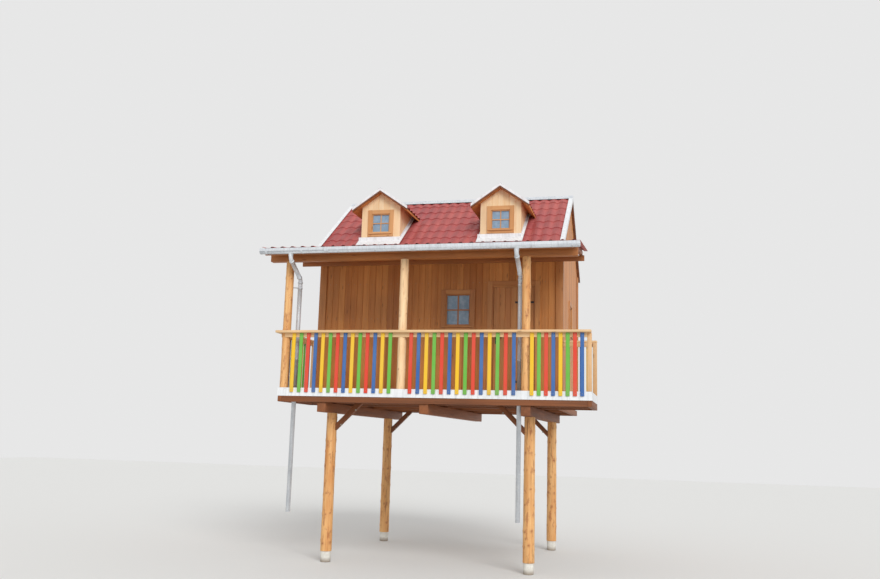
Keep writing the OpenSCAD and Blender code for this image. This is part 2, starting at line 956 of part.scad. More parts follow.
// The front slope, open under each dormer
module roof_front() {
    inner = dormer_half - dormer_wall_t;
    placed() color("indianred") difference() {
        across(roof_left, roof_right) slope_section();
        for (x = [-dormer_x, dormer_x])
            block(
                [x - inner, house_front + wall_t, wall_top - past],
                [x + inner, cheek_back - wall_t, ridge_z]
            );
    }
}

module roof_back() {
    placed() color("indianred") translate([0, 2 * ridge_y, 0]) mirror([0, 1, 0])
        across(roof_left, roof_right) slope_section();
}

// The metal cap along the ridge
module ridge_cap() {
    placed() color("lightgray") across(roof_left, roof_right) polygon([
        [ridge_y - cap_w, roof_over(ridge_y - cap_w)],
        [ridge_y, ridge_z],
        [ridge_y + cap_w, roof_over(ridge_y - cap_w)],
        [ridge_y + cap_w, roof_over(ridge_y - cap_w) + sheet_metal],
        [ridge_y, ridge_z + sheet_metal],
        [ridge_y - cap_w, roof_over(ridge_y - cap_w) + sheet_metal]
    ]);
}

// The space below the main roof's top, which the dormers are cut to
module below_roof() {
    across(-far, far) polygon([
        [ridge_y - far, roof_over(ridge_y - far)],
        [ridge_y, ridge_z],
        [ridge_y, -far]
    ]);
}

// A dormer roof's section about its own centre line, from m above its top down to depth d
module dormer_chevron(m, d, reach) {
    polygon([
        [-reach, dormer_peak - reach * dormer_rise + m],
        [0, dormer_peak + m],
        [reach, dormer_peak - reach * dormer_rise + m],
        [reach, dormer_peak - reach * dormer_rise - d],
        [0, dormer_peak - d],
        [-reach, dormer_peak - reach * dormer_rise - d]
    ]);
}

// White metal along the verges and the dormers' front edges, and the apron under each dormer
module roof_flashings() {
    dormer_front = house_front - dormer_front_over;
    apron_low = house_front - apron_reach;
    placed() color("whitesmoke") {
        for (side = [0, 1]) mirror([side, 0, 0]) {
            across(roof_right, roof_right + sheet_metal) polygon([
                [eave_y, roof_over(eave_y) - verge_face],
                [ridge_y, ridge_z - verge_face],
                [back_eave_y, roof_over(eave_y) - verge_face],
                [back_eave_y, roof_over(eave_y) + sheet_metal],
                [ridge_y, ridge_z + sheet_metal],
                [eave_y, roof_over(eave_y) + sheet_metal]
            ]);
            both_slopes() across(roof_right - verge_flange, roof_right) polygon([
                [eave_y, roof_over(eave_y)],
                [ridge_y - cap_w, roof_over(ridge_y - cap_w)],
                [ridge_y - cap_w, roof_over(ridge_y - cap_w) + sheet_metal],
                [eave_y, roof_over(eave_y) + sheet_metal]
            ]);
        }
        for (x = [-dormer_x, dormer_x]) translate([x, 0, 0]) {
            along(dormer_front - sheet_metal, dormer_front)
                dormer_chevron(sheet_metal, dormer_flash, dormer_eave_x);
            along(dormer_front, dormer_front + verge_flange)
                dormer_chevron(sheet_metal, 0, dormer_eave_x);
            across(-dormer_half - apron_over, dormer_half + apron_over) polygon([
                [apron_low, roof_over(apron_low)],
                [house_front, dormer_foot],
                [house_front, dormer_foot + apron_up],
                [house_front - sheet_metal, dormer_foot + apron_up],
                [house_front - sheet_metal, roof_over(house_front - sheet_metal) + sheet_metal],
                [apron_low, roof_over(apron_low) + sheet_metal]
            ]);
        }
    }
}

// A dormer's face and cheeks, standing on the main roof under the dormer's roof
module dormer_walls(x) {
    inner = dormer_half - dormer_wall_t;
    sill = dormer_foot + dormer_sill;
    translate([x, 0, 0]) difference() {
        translate([0, 0, wall_top]) linear_extrude(height = ridge_z - wall_top) polygon([
            [-dormer_half, house_front],
            [dormer_half, house_front],
            [dormer_half, cheek_back],
            [inner, cheek_back],
            [inner, house_front + dormer_wall_t],
            [-inner, house_front + dormer_wall_t],
            [-inner, cheek_back],
            [-dormer_half, cheek_back]
        ]);
        below_roof();
        along(-far, far) dormer_chevron(far, dormer_vert, dormer_eave_x);
        block(
            [-dormer_window_w * half, house_front - past, sill],
            [dormer_window_w * half, house_front + dormer_wall_t + past, sill + dormer_window_h]
        );
    }
}

module left_dormer_walls() {
    placed() color("wheat") dormer_walls(-dormer_x);
}

module right_dormer_walls() {
    placed() color("wheat") dormer_walls(dormer_x);
}

// A dormer's gabled roof, cut off where it meets the main roof
module dormer_roof(x) {
    translate([x, 0, 0]) difference() {
        along(house_front - dormer_front_over, ridge_y)
            dormer_chevron(0, dormer_vert, dormer_eave_x);
        below_roof();
    }
}

module left_dormer_roof() {
    placed() color("indianred") dormer_roof(-dormer_x);
}

module right_dormer_roof() {
    placed() color("indianred") dormer_roof(dormer_x);
}

// Puts its children at each dormer window
module at_dormer_windows() {
    z = dormer_foot + dormer_sill + dormer_window_h * half;
    for (x = [-dormer_x, dormer_x]) translate([x, house_front, z]) children();
}

module dormer_windows() {
    placed() color("peru") at_dormer_windows()
        window_frame(dormer_window_w, dormer_window_h, dormer_frame_w, dormer_frame_d);
}

footings();
legs();
knee_braces();
bearers();
floor_joists();
edge_beams();
deck();
deck_fascia();
left_post();
middle_post();
right_post();
newels();
handrails();
nailing_rails();
left_bay_balusters();
right_bay_balusters();
landing_balusters();
side_balusters();
back_balusters();
front_wall();
back_wall();
left_wall();
right_wall();
corner_boards();
window_frames();
window_glass();
door_frame();
door();
loft_floor();
veranda_beams();
veranda_rafters();
eave_board();
veranda_roof();
gutter();
gutter_brackets();
downpipes();
roof_front();
roof_back();
ridge_cap();
roof_flashings();
left_dormer_walls();
right_dormer_walls();
left_dormer_roof();
right_dormer_roof();
dormer_windows();
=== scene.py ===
"""The looks of a small timber house on peeled log legs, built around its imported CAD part.

Every class below makes one sub-assembly of the house, in metres, in the frame's own axes:
X runs along the veranda, Y from the veranda to the back wall, Z up.
"""

import logging
import math
import random
from abc import ABC, abstractmethod
from dataclasses import dataclass, field
from enum import Enum
from itertools import product
from typing import Any, Callable, Sequence

import bmesh
import bpy
from mathutils import Matrix, Vector, noise


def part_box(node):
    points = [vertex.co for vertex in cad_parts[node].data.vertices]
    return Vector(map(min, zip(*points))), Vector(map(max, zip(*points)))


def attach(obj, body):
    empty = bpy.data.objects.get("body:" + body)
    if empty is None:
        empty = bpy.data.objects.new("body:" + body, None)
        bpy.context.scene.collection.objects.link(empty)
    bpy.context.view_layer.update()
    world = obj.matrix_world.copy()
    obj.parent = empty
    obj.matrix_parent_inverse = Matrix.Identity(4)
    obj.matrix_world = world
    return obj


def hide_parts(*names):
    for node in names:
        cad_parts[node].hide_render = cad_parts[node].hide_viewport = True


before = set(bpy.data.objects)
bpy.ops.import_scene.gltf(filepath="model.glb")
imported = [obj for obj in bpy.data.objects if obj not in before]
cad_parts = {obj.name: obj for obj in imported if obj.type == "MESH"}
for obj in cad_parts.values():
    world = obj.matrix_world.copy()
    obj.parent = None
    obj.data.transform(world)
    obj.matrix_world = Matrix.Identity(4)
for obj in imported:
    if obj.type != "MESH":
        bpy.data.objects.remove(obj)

log = logging.getLogger("tree_house")

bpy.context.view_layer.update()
BODY = "root"

Colour = tuple[float, float, float, float]
Pair = tuple[float, float]
Ring = Sequence[Vector]

X = Vector((1, 0, 0))
Y = Vector((0, 1, 0))
Z = Vector((0, 0, 1))

WELD = 1e-5
NEAR = 1e-4
FLAT = math.radians(1)
CREASE = math.radians(32)
GRAIN_SHIFT = (31, 17, 23)
SIDES = (-1, 1)


def at(x: float, y: float, z: float) -> Vector:
    """A place or a direction by its coordinates."""
    return Vector((x, y, z))


def chart(red: int, green: int, blue: int) -> Colour:
    """Turns a paint chart's colour into the linear one that a shader takes.

    Args:
        red: Red, 0 to 255.
        green: Green, 0 to 255.
        blue: Blue, 0 to 255.

    Returns:
        The linear colour with full alpha.
    """
    linear = [
        part / 12.92 if part <= 0.04045 else ((part + 0.055) / 1.055) ** 2.4
        for part in (red / 255, green / 255, blue / 255)
    ]
    return (*linear, 1.0)


class Slot(Enum):
    """The record's material slots that pieces are made for."""

    PEELED_LOG = "peeled_log"
    PALE_LOG = "pale_log"
    DARK_TIMBER = "dark_timber"
    DECK_BOARDS = "deck_boards"
    PINE_BOARDS = "pine_boards"
    PLANED_PINE = "planed_pine"
    PAINTED_WOOD = "painted_wood"
    ROOF_SHEET = "roof_sheet"
    GALVANISED = "galvanised"
    WHITE_METAL = "white_metal"


# ---------------------------------------------------------------- node trees


def operators(operation: str) -> tuple[Callable[..., "Value"], Callable[..., "Value"]]:
    """An operator of Value and its reflected form, which each add one Math node."""
    return (lambda value, other: value.maths(operation, value, other),
            lambda value, other: value.maths(operation, other, value))


class Value:
    """A number in a node tree. Arithmetic on it adds Math nodes."""

    __add__, __radd__ = operators("ADD")
    __sub__, __rsub__ = operators("SUBTRACT")
    __mul__, __rmul__ = operators("MULTIPLY")
    __truediv__, __rtruediv__ = operators("DIVIDE")
    __mod__, __rmod__ = operators("FLOORED_MODULO")

    def __init__(self, sheet: "NodeSheet", socket: bpy.types.NodeSocket) -> None:
        """Wraps a socket of the sheet's tree."""
        self.sheet = sheet
        self.socket = socket

    def maths(self, operation: str, first: Any, second: Any = 0.0) -> "Value":
        """Adds one Math node and returns its result."""
        node = self.sheet.add("ShaderNodeMath", {0: first, 1: second}, operation=operation)
        return Value(self.sheet, node.outputs[0])

    def function(self, operation: str) -> "Value":
        """A Math node of one operand, such as COSINE or FLOOR."""
        return self.maths(operation, self)

    def band(self, low: float, high: float) -> "Value":
        """Runs from 0 at low to 1 at high, and stays within them."""
        inputs = {"Value": self, "From Min": low, "From Max": high}
        return Value(self.sheet, self.sheet.add("ShaderNodeMapRange", inputs).outputs["Result"])


class NodeSheet:
    """A node tree that grows by one method."""

    def __init__(self, tree: bpy.types.NodeTree) -> None:
        """Takes the tree that nodes are added to."""
        self.tree = tree

    def add(
        self, kind: str, inputs: dict[str | int, Any] | None = None, **settings: Any
    ) -> bpy.types.Node:
        """Adds a node.

        Args:
            kind: The node's type.
            inputs: Values, sockets or plain constants by a socket's number, identifier or name.
            **settings: The node's properties, which are set first.

        Returns:
            The new node.
        """
        node = self.tree.nodes.new(kind)
        for name, setting in settings.items():
            setattr(node, name, setting)
        for key, content in (inputs or {}).items():
            self.fill(self.find(node.inputs, key), content)
        return node

    def fill(self, socket: bpy.types.NodeSocket, content: Any) -> None:
        """Feeds a socket.

        Args:
            socket: The socket.
            content: A value or a socket to link to it, or the constant that it keeps.
        """
        content = content.socket if isinstance(content, Value) else content
        if isinstance(content, bpy.types.NodeSocket):
            self.tree.links.new(content, socket)
        else:
            socket.default_value = content

    @staticmethod
    def find(sockets: Sequence[bpy.types.NodeSocket], key: str | int) -> bpy.types.NodeSocket:
        """Finds a socket.

        Args:
            sockets: A node's inputs or outputs.
            key: The socket's number, identifier or name.

        Returns:
            The socket.
        """
        if isinstance(key, int):
            return sockets[key]
        by_identifier = [socket for socket in sockets if socket.identifier == key]
        return by_identifier[0] if by_identifier else sockets[key]

    def part_of(self, point: Any, axis: str) -> Value:
        """One coordinate of a point."""
        return Value(self, self.add("ShaderNodeSeparateXYZ", {0: point}).outputs[axis])


class ShaderSheet(NodeSheet):
    """The node tree of one material, with its surface shader and output."""

    def __init__(self, name: str) -> None:
        """Makes the material with a bare surface shader.

        Args:
            name: The material's name.
        """
        self.material = bpy.data.materials.new(name)
        self.material.use_nodes = True
        super().__init__(self.material.node_tree)
        self.tree.nodes.clear()
        self.surface = self.add("ShaderNodeBsdfPrincipled")
        self.add("ShaderNodeOutputMaterial", {"Surface": self.surface.outputs["BSDF"]})

    def place(self) -> Any:
        """The object's own coordinates in metres."""
        return self.add("ShaderNodeTexCoord").outputs["Object"]

    def grain(self) -> Any:
        """The mesh's coordinates along and across the grain of each part, in metres."""
        return self.add("ShaderNodeAttribute", attribute_name="grain").outputs["Vector"]

    def number(self, name: str) -> Value:
        """A named attribute of the mesh as a number."""
        node = self.add("ShaderNodeAttribute", attribute_name=name)
        return Value(self, node.outputs["Fac"])

    def mapped(self, point: Any, scale: Sequence[float]) -> Any:
        """A point's coordinates, scaled for a pattern."""
        return self.add("ShaderNodeMapping", {"Vector": point, "Scale": scale}).outputs["Vector"]

    def noise(
        self, point: Any, scale: Sequence[float], detail: float = 4.0, roughness: float = 0.5
    ) -> Value:
        """Cloudy noise about 0.5.

        Args:
            point: The coordinates that it is drawn in.
            scale: How fine it is along each of them.
            detail: How many finer layers it has.
            roughness: How much the finer layers show.

        Returns:
            The noise.
        """
        node = self.add("ShaderNodeTexNoise", {
            "Vector": self.mapped(point, scale), "Scale": 1.0, "Detail": detail,
            "Roughness": roughness,
        })
        return Value(self, node.outputs[0])

    def cells(self, point: Any, scale: Sequence[float], output: str) -> Any:
        """One output of a pattern of random cells, drawn like noise."""
        inputs = {"Vector": self.mapped(point, scale), "Scale": 1.0}
        return self.add("ShaderNodeTexVoronoi", inputs).outputs[output]

    def mix(self, mask: Any, first: Any, second: Any) -> Any:
        """Two colours mixed by a mask.

        Args:
            mask: The share of the second colour.
            first: The colour where the mask is 0.
            second: The colour where the mask is 1.

        Returns:
            The mixed colour's socket.
        """
        inputs = {"Factor_Float": mask, "A_Color": first, "B_Color": second}
        node = self.add("ShaderNodeMix", inputs, data_type="RGBA")
        return self.find(node.outputs, "Result_Color")

    def set(self, **inputs: Any) -> None:
        """Fills the surface shader's own sockets, named with _ for a space."""
        for name, content in inputs.items():
            self.fill(self.surface.inputs[name.replace("_", " ")], content)

    def relief(self, height: Value, depth: float) -> None:
        """Raises the surface by a height of 0 to 1 times a depth in metres."""
        bump = self.add("ShaderNodeBump", {"Height": height, "Distance": depth, "Strength": 1.0})
        self.set(Normal=bump.outputs["Normal"])


# ------------------------------------------------------------------ finishes


@dataclass(frozen=True)
class Finish(ABC):
    """A surface finish, whose material is made once."""

    name: str

    @abstractmethod
    def lay(self, sheet: ShaderSheet) -> None:
        """Builds the finish's nodes.

        Args:
            sheet: The sheet that they go on.
        """

    def material(self) -> bpy.types.Material:
        """The finish's material, made at its first use.

        Returns:
            The material.
        """
        if self.name not in bpy.data.materials:
            self.lay(ShaderSheet(self.name))
        return bpy.data.materials[self.name]


@dataclass(frozen=True)
class PeeledLog(Finish):
    """A log without its bark: streaks, cracks, reddish knots and flecks of inner bark."""

    pale: Colour
    deep: Colour
    knot: Colour
    flecks: float = 0.5
    crack: Colour = chart(70, 36, 16)

    def lay(self, sheet: ShaderSheet) -> None:
        """Builds the finish's nodes.

        Args:
            sheet: The sheet that they go on.
        """
        grain, knot = sheet.grain(), sheet.number("knot")
        streak = sheet.noise(grain, (1.6, 26, 26), 6.0, 0.6)
        patch = sheet.noise(grain, (1.1, 5, 5), 3.0)
        crack = 1 - sheet.noise(grain, (1.3, 46, 46), 2.0).band(0.27, 0.36)
        fleck = sheet.noise(grain, (5.5, 17, 17), 5.0, 0.7).band(0.54, 0.62)
        colour = sheet.mix((0.55 * streak + 0.45 * patch).band(0.36, 0.64), self.pale, self.deep)
        colour = sheet.mix(self.flecks * fleck, colour, self.knot)
        colour = sheet.mix(0.85 * knot, colour, self.knot)
        colour = sheet.mix(0.6 * crack, colour, self.crack)
        sheet.set(Base_Color=colour, Roughness=0.46 + 0.3 * streak)
        sheet.relief(0.35 * streak - 0.8 * crack + 0.4 * knot, 0.004)


@dataclass(frozen=True)
class Timber(Finish):
    """Boards and beams, each a little apart in shade, with grain and wear along it."""

    pale: Colour
    deep: Colour
    rough: float = 0.55
    saw_marks: float = 0.0
    knot: Colour = chart(96, 52, 24)
    stain: Colour = chart(88, 66, 46)

    def lay(self, sheet: ShaderSheet) -> None:
        """Builds the finish's nodes.

        Args:
            sheet: The sheet that they go on.
        """
        grain, shade = sheet.grain(), sheet.number("shade")
        fibre = sheet.noise(grain, (2.2, 70, 70), 5.0, 0.65)
        figure = sheet.noise(grain, (0.9, 13, 13), 3.0, 0.6)
        stain = sheet.noise(sheet.place(), (1.4, 1.4, 0.9), 4.0, 0.6).band(0.35, 0.75)
        knot = 1 - Value(sheet, sheet.cells(grain, (2.4, 11, 11), "Distance")).band(0.05, 0.13)
        tone = (0.45 * figure + 0.3 * fibre + 0.25 * shade).band(0.3, 0.68)
        colour = sheet.mix(tone, self.pale, self.deep)
        colour = sheet.mix(0.55 * knot, colour, self.knot)
        colour = sheet.mix(0.28 * stain, colour, self.stain)
        sheet.set(Base_Color=colour, Roughness=self.rough + 0.25 * (fibre - 0.5))
        marks = sheet.noise(grain, (150, 6, 6), 1.0)
        sheet.relief(fibre * 0.7 + marks * self.saw_marks, 0.0022)


@dataclass(frozen=True)
class GlossPaint(Finish):
    """Brushed gloss paint on wood, chipped, faded and dirty near the deck."""

    colour: Colour
    faded: Colour
    dirt: Colour = chart(120, 104, 74)
    wood: Colour = chart(196, 158, 112)
    dirty_heights: Pair = (2.79, 2.98)

    def lay(self, sheet: ShaderSheet) -> None:
        """Builds the finish's nodes.

        Args:
            sheet: The sheet that they go on.
        """
        place = sheet.place()
        brush = sheet.noise(place, (190, 190, 5), 3.0, 0.6)
        fade = sheet.noise(place, (5, 5, 2), 4.0, 0.6).band(0.36, 0.74)
        chip = sheet.noise(place, (46, 46, 26), 5.0, 0.7).band(0.705, 0.73)
        dirt = 1 - sheet.part_of(place, "Z").band(*self.dirty_heights)
        colour = sheet.mix(0.55 * fade + 0.12 * brush, self.colour, self.faded)
        colour = sheet.mix(0.3 * dirt * fade, colour, self.dirt)
        colour = sheet.mix(0.85 * chip, colour, self.wood)
        sheet.set(Base_Color=colour, Roughness=0.34 + 0.28 * fade + 0.2 * chip)
        sheet.relief(0.3 * brush - 0.9 * chip, 0.0012)


@dataclass(frozen=True)
class TileCoat(Finish):
    """Coated roof sheet with dull patches, run marks down the slope and lichen specks."""

    colour: Colour
    faded: Colour
    deep: Colour
    lichen: Colour = chart(150, 148, 112)

    def lay(self, sheet: ShaderSheet) -> None:
        """Builds the finish's nodes.

        Args:
            sheet: The sheet that they go on.
        """
        # The dip attribute is painted shade, darker in the sheet's troughs and at each step's foot.
        place, low = sheet.place(), sheet.number("dip")
        patch = sheet.noise(place, (1.3, 1.3, 1.3), 5.0, 0.6).band(0.34, 0.68)
        run = sheet.noise(place, (34, 2.2, 2.2), 4.0, 0.6).band(0.42, 0.74)
        grit = sheet.noise(place, (420, 420, 420), 2.0)
        speck = 1 - Value(sheet, sheet.cells(place, (17, 17, 17), "Distance")).band(0.07, 0.16)
        lichen = speck * sheet.noise(place, (2, 2, 2)).band(0.5, 0.62)
        colour = sheet.mix(patch, self.colour, self.faded)
        # Painted shade in the troughs and at each step's foot, plus dirt run marks, take the deep
        # colour.
        colour = sheet.mix(0.2 * run + 0.45 * low, colour, self.deep)
        colour = sheet.mix(0.6 * lichen, colour, self.lichen)
        sheet.set(Base_Color=colour, Roughness=0.42 + 0.25 * patch + 0.1 * grit)
        sheet.relief(0.5 * grit + 0.8 * lichen, 0.0012)


@dataclass(frozen=True)
class SheetMetal(Finish):
    """Bare or coated sheet metal: spangled zinc or white coating, with streaks and dull bloom."""

    colour: Colour
    shade: Colour
    metal: float
    rough: float
    spangle: float = 0.0
    dirt: Colour = chart(118, 112, 102)

    def lay(self, sheet: ShaderSheet) -> None:
        """Builds the finish's nodes.

        Args:
            sheet: The sheet that they go on.
        """
        place = sheet.place()
        crystal = sheet.part_of(sheet.cells(place, (58, 58, 58), "Color"), "X")
        bloom = sheet.noise(place, (4, 4, 4), 5.0, 0.65).band(0.4, 0.72)
        run = sheet.noise(place, (26, 26, 1.8), 4.0, 0.6).band(0.48, 0.75)
        colour = sheet.mix(0.55 * bloom + self.spangle * crystal, self.colour, self.shade)
        colour = sheet.mix(0.3 * run, colour, self.dirt)
        rough = self.rough + 0.2 * bloom + 0.12 * self.spangle * crystal
        sheet.set(Base_Color=colour, Roughness=rough, Metallic=self.metal)
        sheet.relief(0.4 * bloom + 0.2 * crystal, 0.0008)


@dataclass(frozen=True)
class FootingCoat(Finish):
    """White masonry coat on a footing, with pores and soil splashed on its foot."""

    colour: Colour
    soil: Colour
    cloud: Colour = chart(176, 170, 158)
    splashed_heights: Pair = (0.06, 0.13)

    def lay(self, sheet: ShaderSheet) -> None:
        """Builds the finish's nodes.

        Args:
            sheet: The sheet that they go on.
        """
        place = sheet.place()
        pores = sheet.noise(place, (90, 90, 90), 4.0, 0.7)
        cloud = sheet.noise(place, (14, 14, 14), 4.0, 0.6)
        splash = 1 - (sheet.part_of(place, "Z") + 0.09 * cloud).band(*self.splashed_heights)
        colour = sheet.mix(cloud.band(0.4, 0.7) * 0.5, self.colour, self.cloud)
        colour = sheet.mix(0.7 * splash, colour, self.soil)
        sheet.set(Base_Color=colour, Roughness=0.75 + 0.15 * pores)
        sheet.relief(pores, 0.003)


@dataclass(frozen=True)
class PaneGlass(Finish):
    """Window glass, blue as a painted sky reflection, showing a dim room and patches of dust."""

    colour: Colour
    dust: Colour

    def lay(self, sheet: ShaderSheet) -> None:
        """Builds the finish's nodes.

        Args:
            sheet: The sheet that they go on.
        """
        place = sheet.place()
        film = sheet.noise(place, (7, 7, 7), 5.0, 0.7).band(0.42, 0.72)
        # The pane's colour is a painted reflection of the sky; the film is dust.
        colour = sheet.mix(0.3 * film, self.colour, self.dust)
        sheet.set(Base_Color=colour, Roughness=0.04 + 0.16 * film, Alpha=0.68 + 0.2 * film)
        sheet.relief(sheet.noise(place, (9, 9, 5), 1.0), 0.004)


class Finishes:
    """The finishes of the whole house, named for what they are on."""

    honey_log = PeeledLog(
        "honey_log", chart(238, 190, 128), chart(206, 140, 78), chart(142, 68, 34)
    )
    cream_log = PeeledLog(
        "cream_log", chart(250, 220, 176), chart(230, 184, 132), chart(176, 112, 66), 0.2
    )
    dark_beam = Timber("dark_beam", chart(156, 90, 44), chart(102, 54, 24), 0.62, 0.8)
    eave_timber = Timber("eave_timber", chart(192, 120, 58), chart(144, 80, 32), 0.56, 0.4)
    wall_boards = Timber("wall_boards", chart(224, 152, 80), chart(178, 108, 48), 0.5)
    gable_boards = Timber("gable_boards", chart(255, 232, 192), chart(240, 200, 148), 0.5)
    planed = Timber("planed_rail", chart(246, 212, 164), chart(220, 172, 120), 0.48)
    frame_wood = Timber("frame_wood", chart(214, 152, 90), chart(178, 112, 58), 0.45)
    gable_joinery = Timber("gable_joinery", chart(232, 182, 124), chart(204, 142, 84), 0.45)
    deck = Timber("deck_planks", chart(190, 158, 118), chart(148, 112, 74), 0.66, 0.5)
    # The tile sheet's deep colour serves its run marks and the painted shade in its hollows.
    tiles = TileCoat("tile_sheet", chart(176, 80, 80), chart(196, 106, 100), chart(116, 46, 48))
    zinc = SheetMetal("spangled_zinc", chart(224, 228, 232), chart(190, 196, 204), 0.25, 0.36, 0.3)
    white_metal = SheetMetal("white_coating", chart(236, 238, 240), chart(212, 216, 220), 0.0, 0.4)
    fittings = SheetMetal("black_fittings", chart(58, 56, 56), chart(82, 74, 66), 0.7, 0.5, 0.2)
    screws = SheetMetal("plated_screws", chart(176, 172, 160), chart(136, 128, 112), 0.8, 0.42, 0.2)
    footing = FootingCoat("footing_coat", chart(228, 226, 218), chart(120, 96, 70))
    # The glass's pale blue is a painted reflection of the sky.
    glass = PaneGlass("pane_glass", chart(146, 178, 204), chart(206, 212, 216))


class Paint(Enum):
    """The baluster paints, in the order that the row repeats them."""

    YELLOW = GlossPaint("yellow_paint", chart(240, 192, 28), chart(226, 186, 78))
    GREEN = GlossPaint("green_paint", chart(98, 178, 56), chart(134, 184, 98))
    RED = GlossPaint("red_paint", chart(222, 62, 40), chart(210, 96, 72))
    BLUE = GlossPaint("blue_paint", chart(48, 96, 164), chart(92, 126, 172))


# -------------------------------------------------------------------- meshes


def linked(name: str, data: bpy.types.ID) -> bpy.types.Object:
    """Puts a new object into the scene.

    Args:
        name: The object's name.
        data: Its mesh, light or camera.

    Returns:
        The object.
    """
    made = bpy.data.objects.new(name, data)
    bpy.context.scene.collection.objects.link(made)
    return made


def evaluated(holder: bpy.types.Object) -> bpy.types.Mesh:
    """Turns an object with its modifier into a plain mesh, and removes both.

    Args:
        holder: The object.

    Returns:
        The mesh.
    """
    graph = bpy.context.evaluated_depsgraph_get()
    made = bpy.data.meshes.new_from_object(
        holder.evaluated_get(graph), preserve_all_data_layers=True, depsgraph=graph
    )
    holder.modifiers.clear()
    bpy.data.objects.remove(holder)
    return made


def modified(mesh: bpy.types.Mesh, kind: str, **settings: Any) -> bpy.types.Mesh:
    """A mesh as one modifier leaves it.

    Args:
        mesh: The mesh.
        kind: The modifier's type.
        **settings: The modifier's settings.

    Returns:
        The modified mesh.
    """
    holder = linked(mesh.name, mesh)
    modifier = holder.modifiers.new("step", kind)
    for name, setting in settings.items():
        setattr(modifier, name, setting)
    return evaluated(holder)


def store(mesh: bpy.types.Mesh, name: str, values: Sequence[Any]) -> None:
    """Keeps one number or vector a point on a mesh as a named attribute.

    Args:
        mesh: The mesh.
        name: The attribute's name.
        values: The points' values, in order.
    """
    if isinstance(values[0], Vector):
        attribute = mesh.attributes.new(name, "FLOAT_VECTOR", "POINT")
        attribute.data.foreach_set("vector", [part for value in values for part in value])
    else:
        mesh.attributes.new(name, "FLOAT", "POINT").data.foreach_set("value", values)


def crease(mesh: bpy.types.Mesh, angle: float = CREASE) -> None:
    """Shades a mesh smoothly, apart from edges sharper than an angle."""
    mesh.shade_smooth()
    mesh.set_sharp_from_angle(angle=angle)


def settled(solid: bmesh.types.BMesh, mesh: bpy.types.Mesh) -> bpy.types.Mesh:
    """Writes a working mesh into a lasting one.

    Args:
        solid: The working mesh, which is freed.
        mesh: The lasting one.

    Returns:
        The lasting mesh, shaded.
    """
    solid.to_mesh(mesh)
    solid.free()
    crease(mesh)
    return mesh


def joined(name: str, *meshes: bpy.types.Mesh) -> bpy.types.Mesh:
    """Several meshes as one, with their attributes.

    Args:
        name: The new mesh's name.
        *meshes: The meshes.

    Returns:
        The new mesh.
    """
    whole = bmesh.new()
    for mesh in meshes:
        whole.from_mesh(mesh)
    return settled(whole, bpy.data.meshes.new(name))


def grained(point: Vector, along: Vector, shade: float) -> Vector:
    """A place in a part's grain, which is moved on by its shade so that no two are alike.

    Args:
        point: The place.
        along: The direction that the grain runs in.
        shade: The part's shade.

    Returns:
        The coordinates along and across the grain.
    """
    side = along.orthogonal().normalized()
    place = Vector([point.dot(way) for way in (along, side, along.cross(side))])
    return place + Vector([shade * part for part in GRAIN_SHIFT])


def rectangle(left: float, right: float, low: float, high: float) -> list[Pair]:
    """The corners of a rectangle, once round."""
    return [(left, low), (right, low), (right, high), (left, high)]


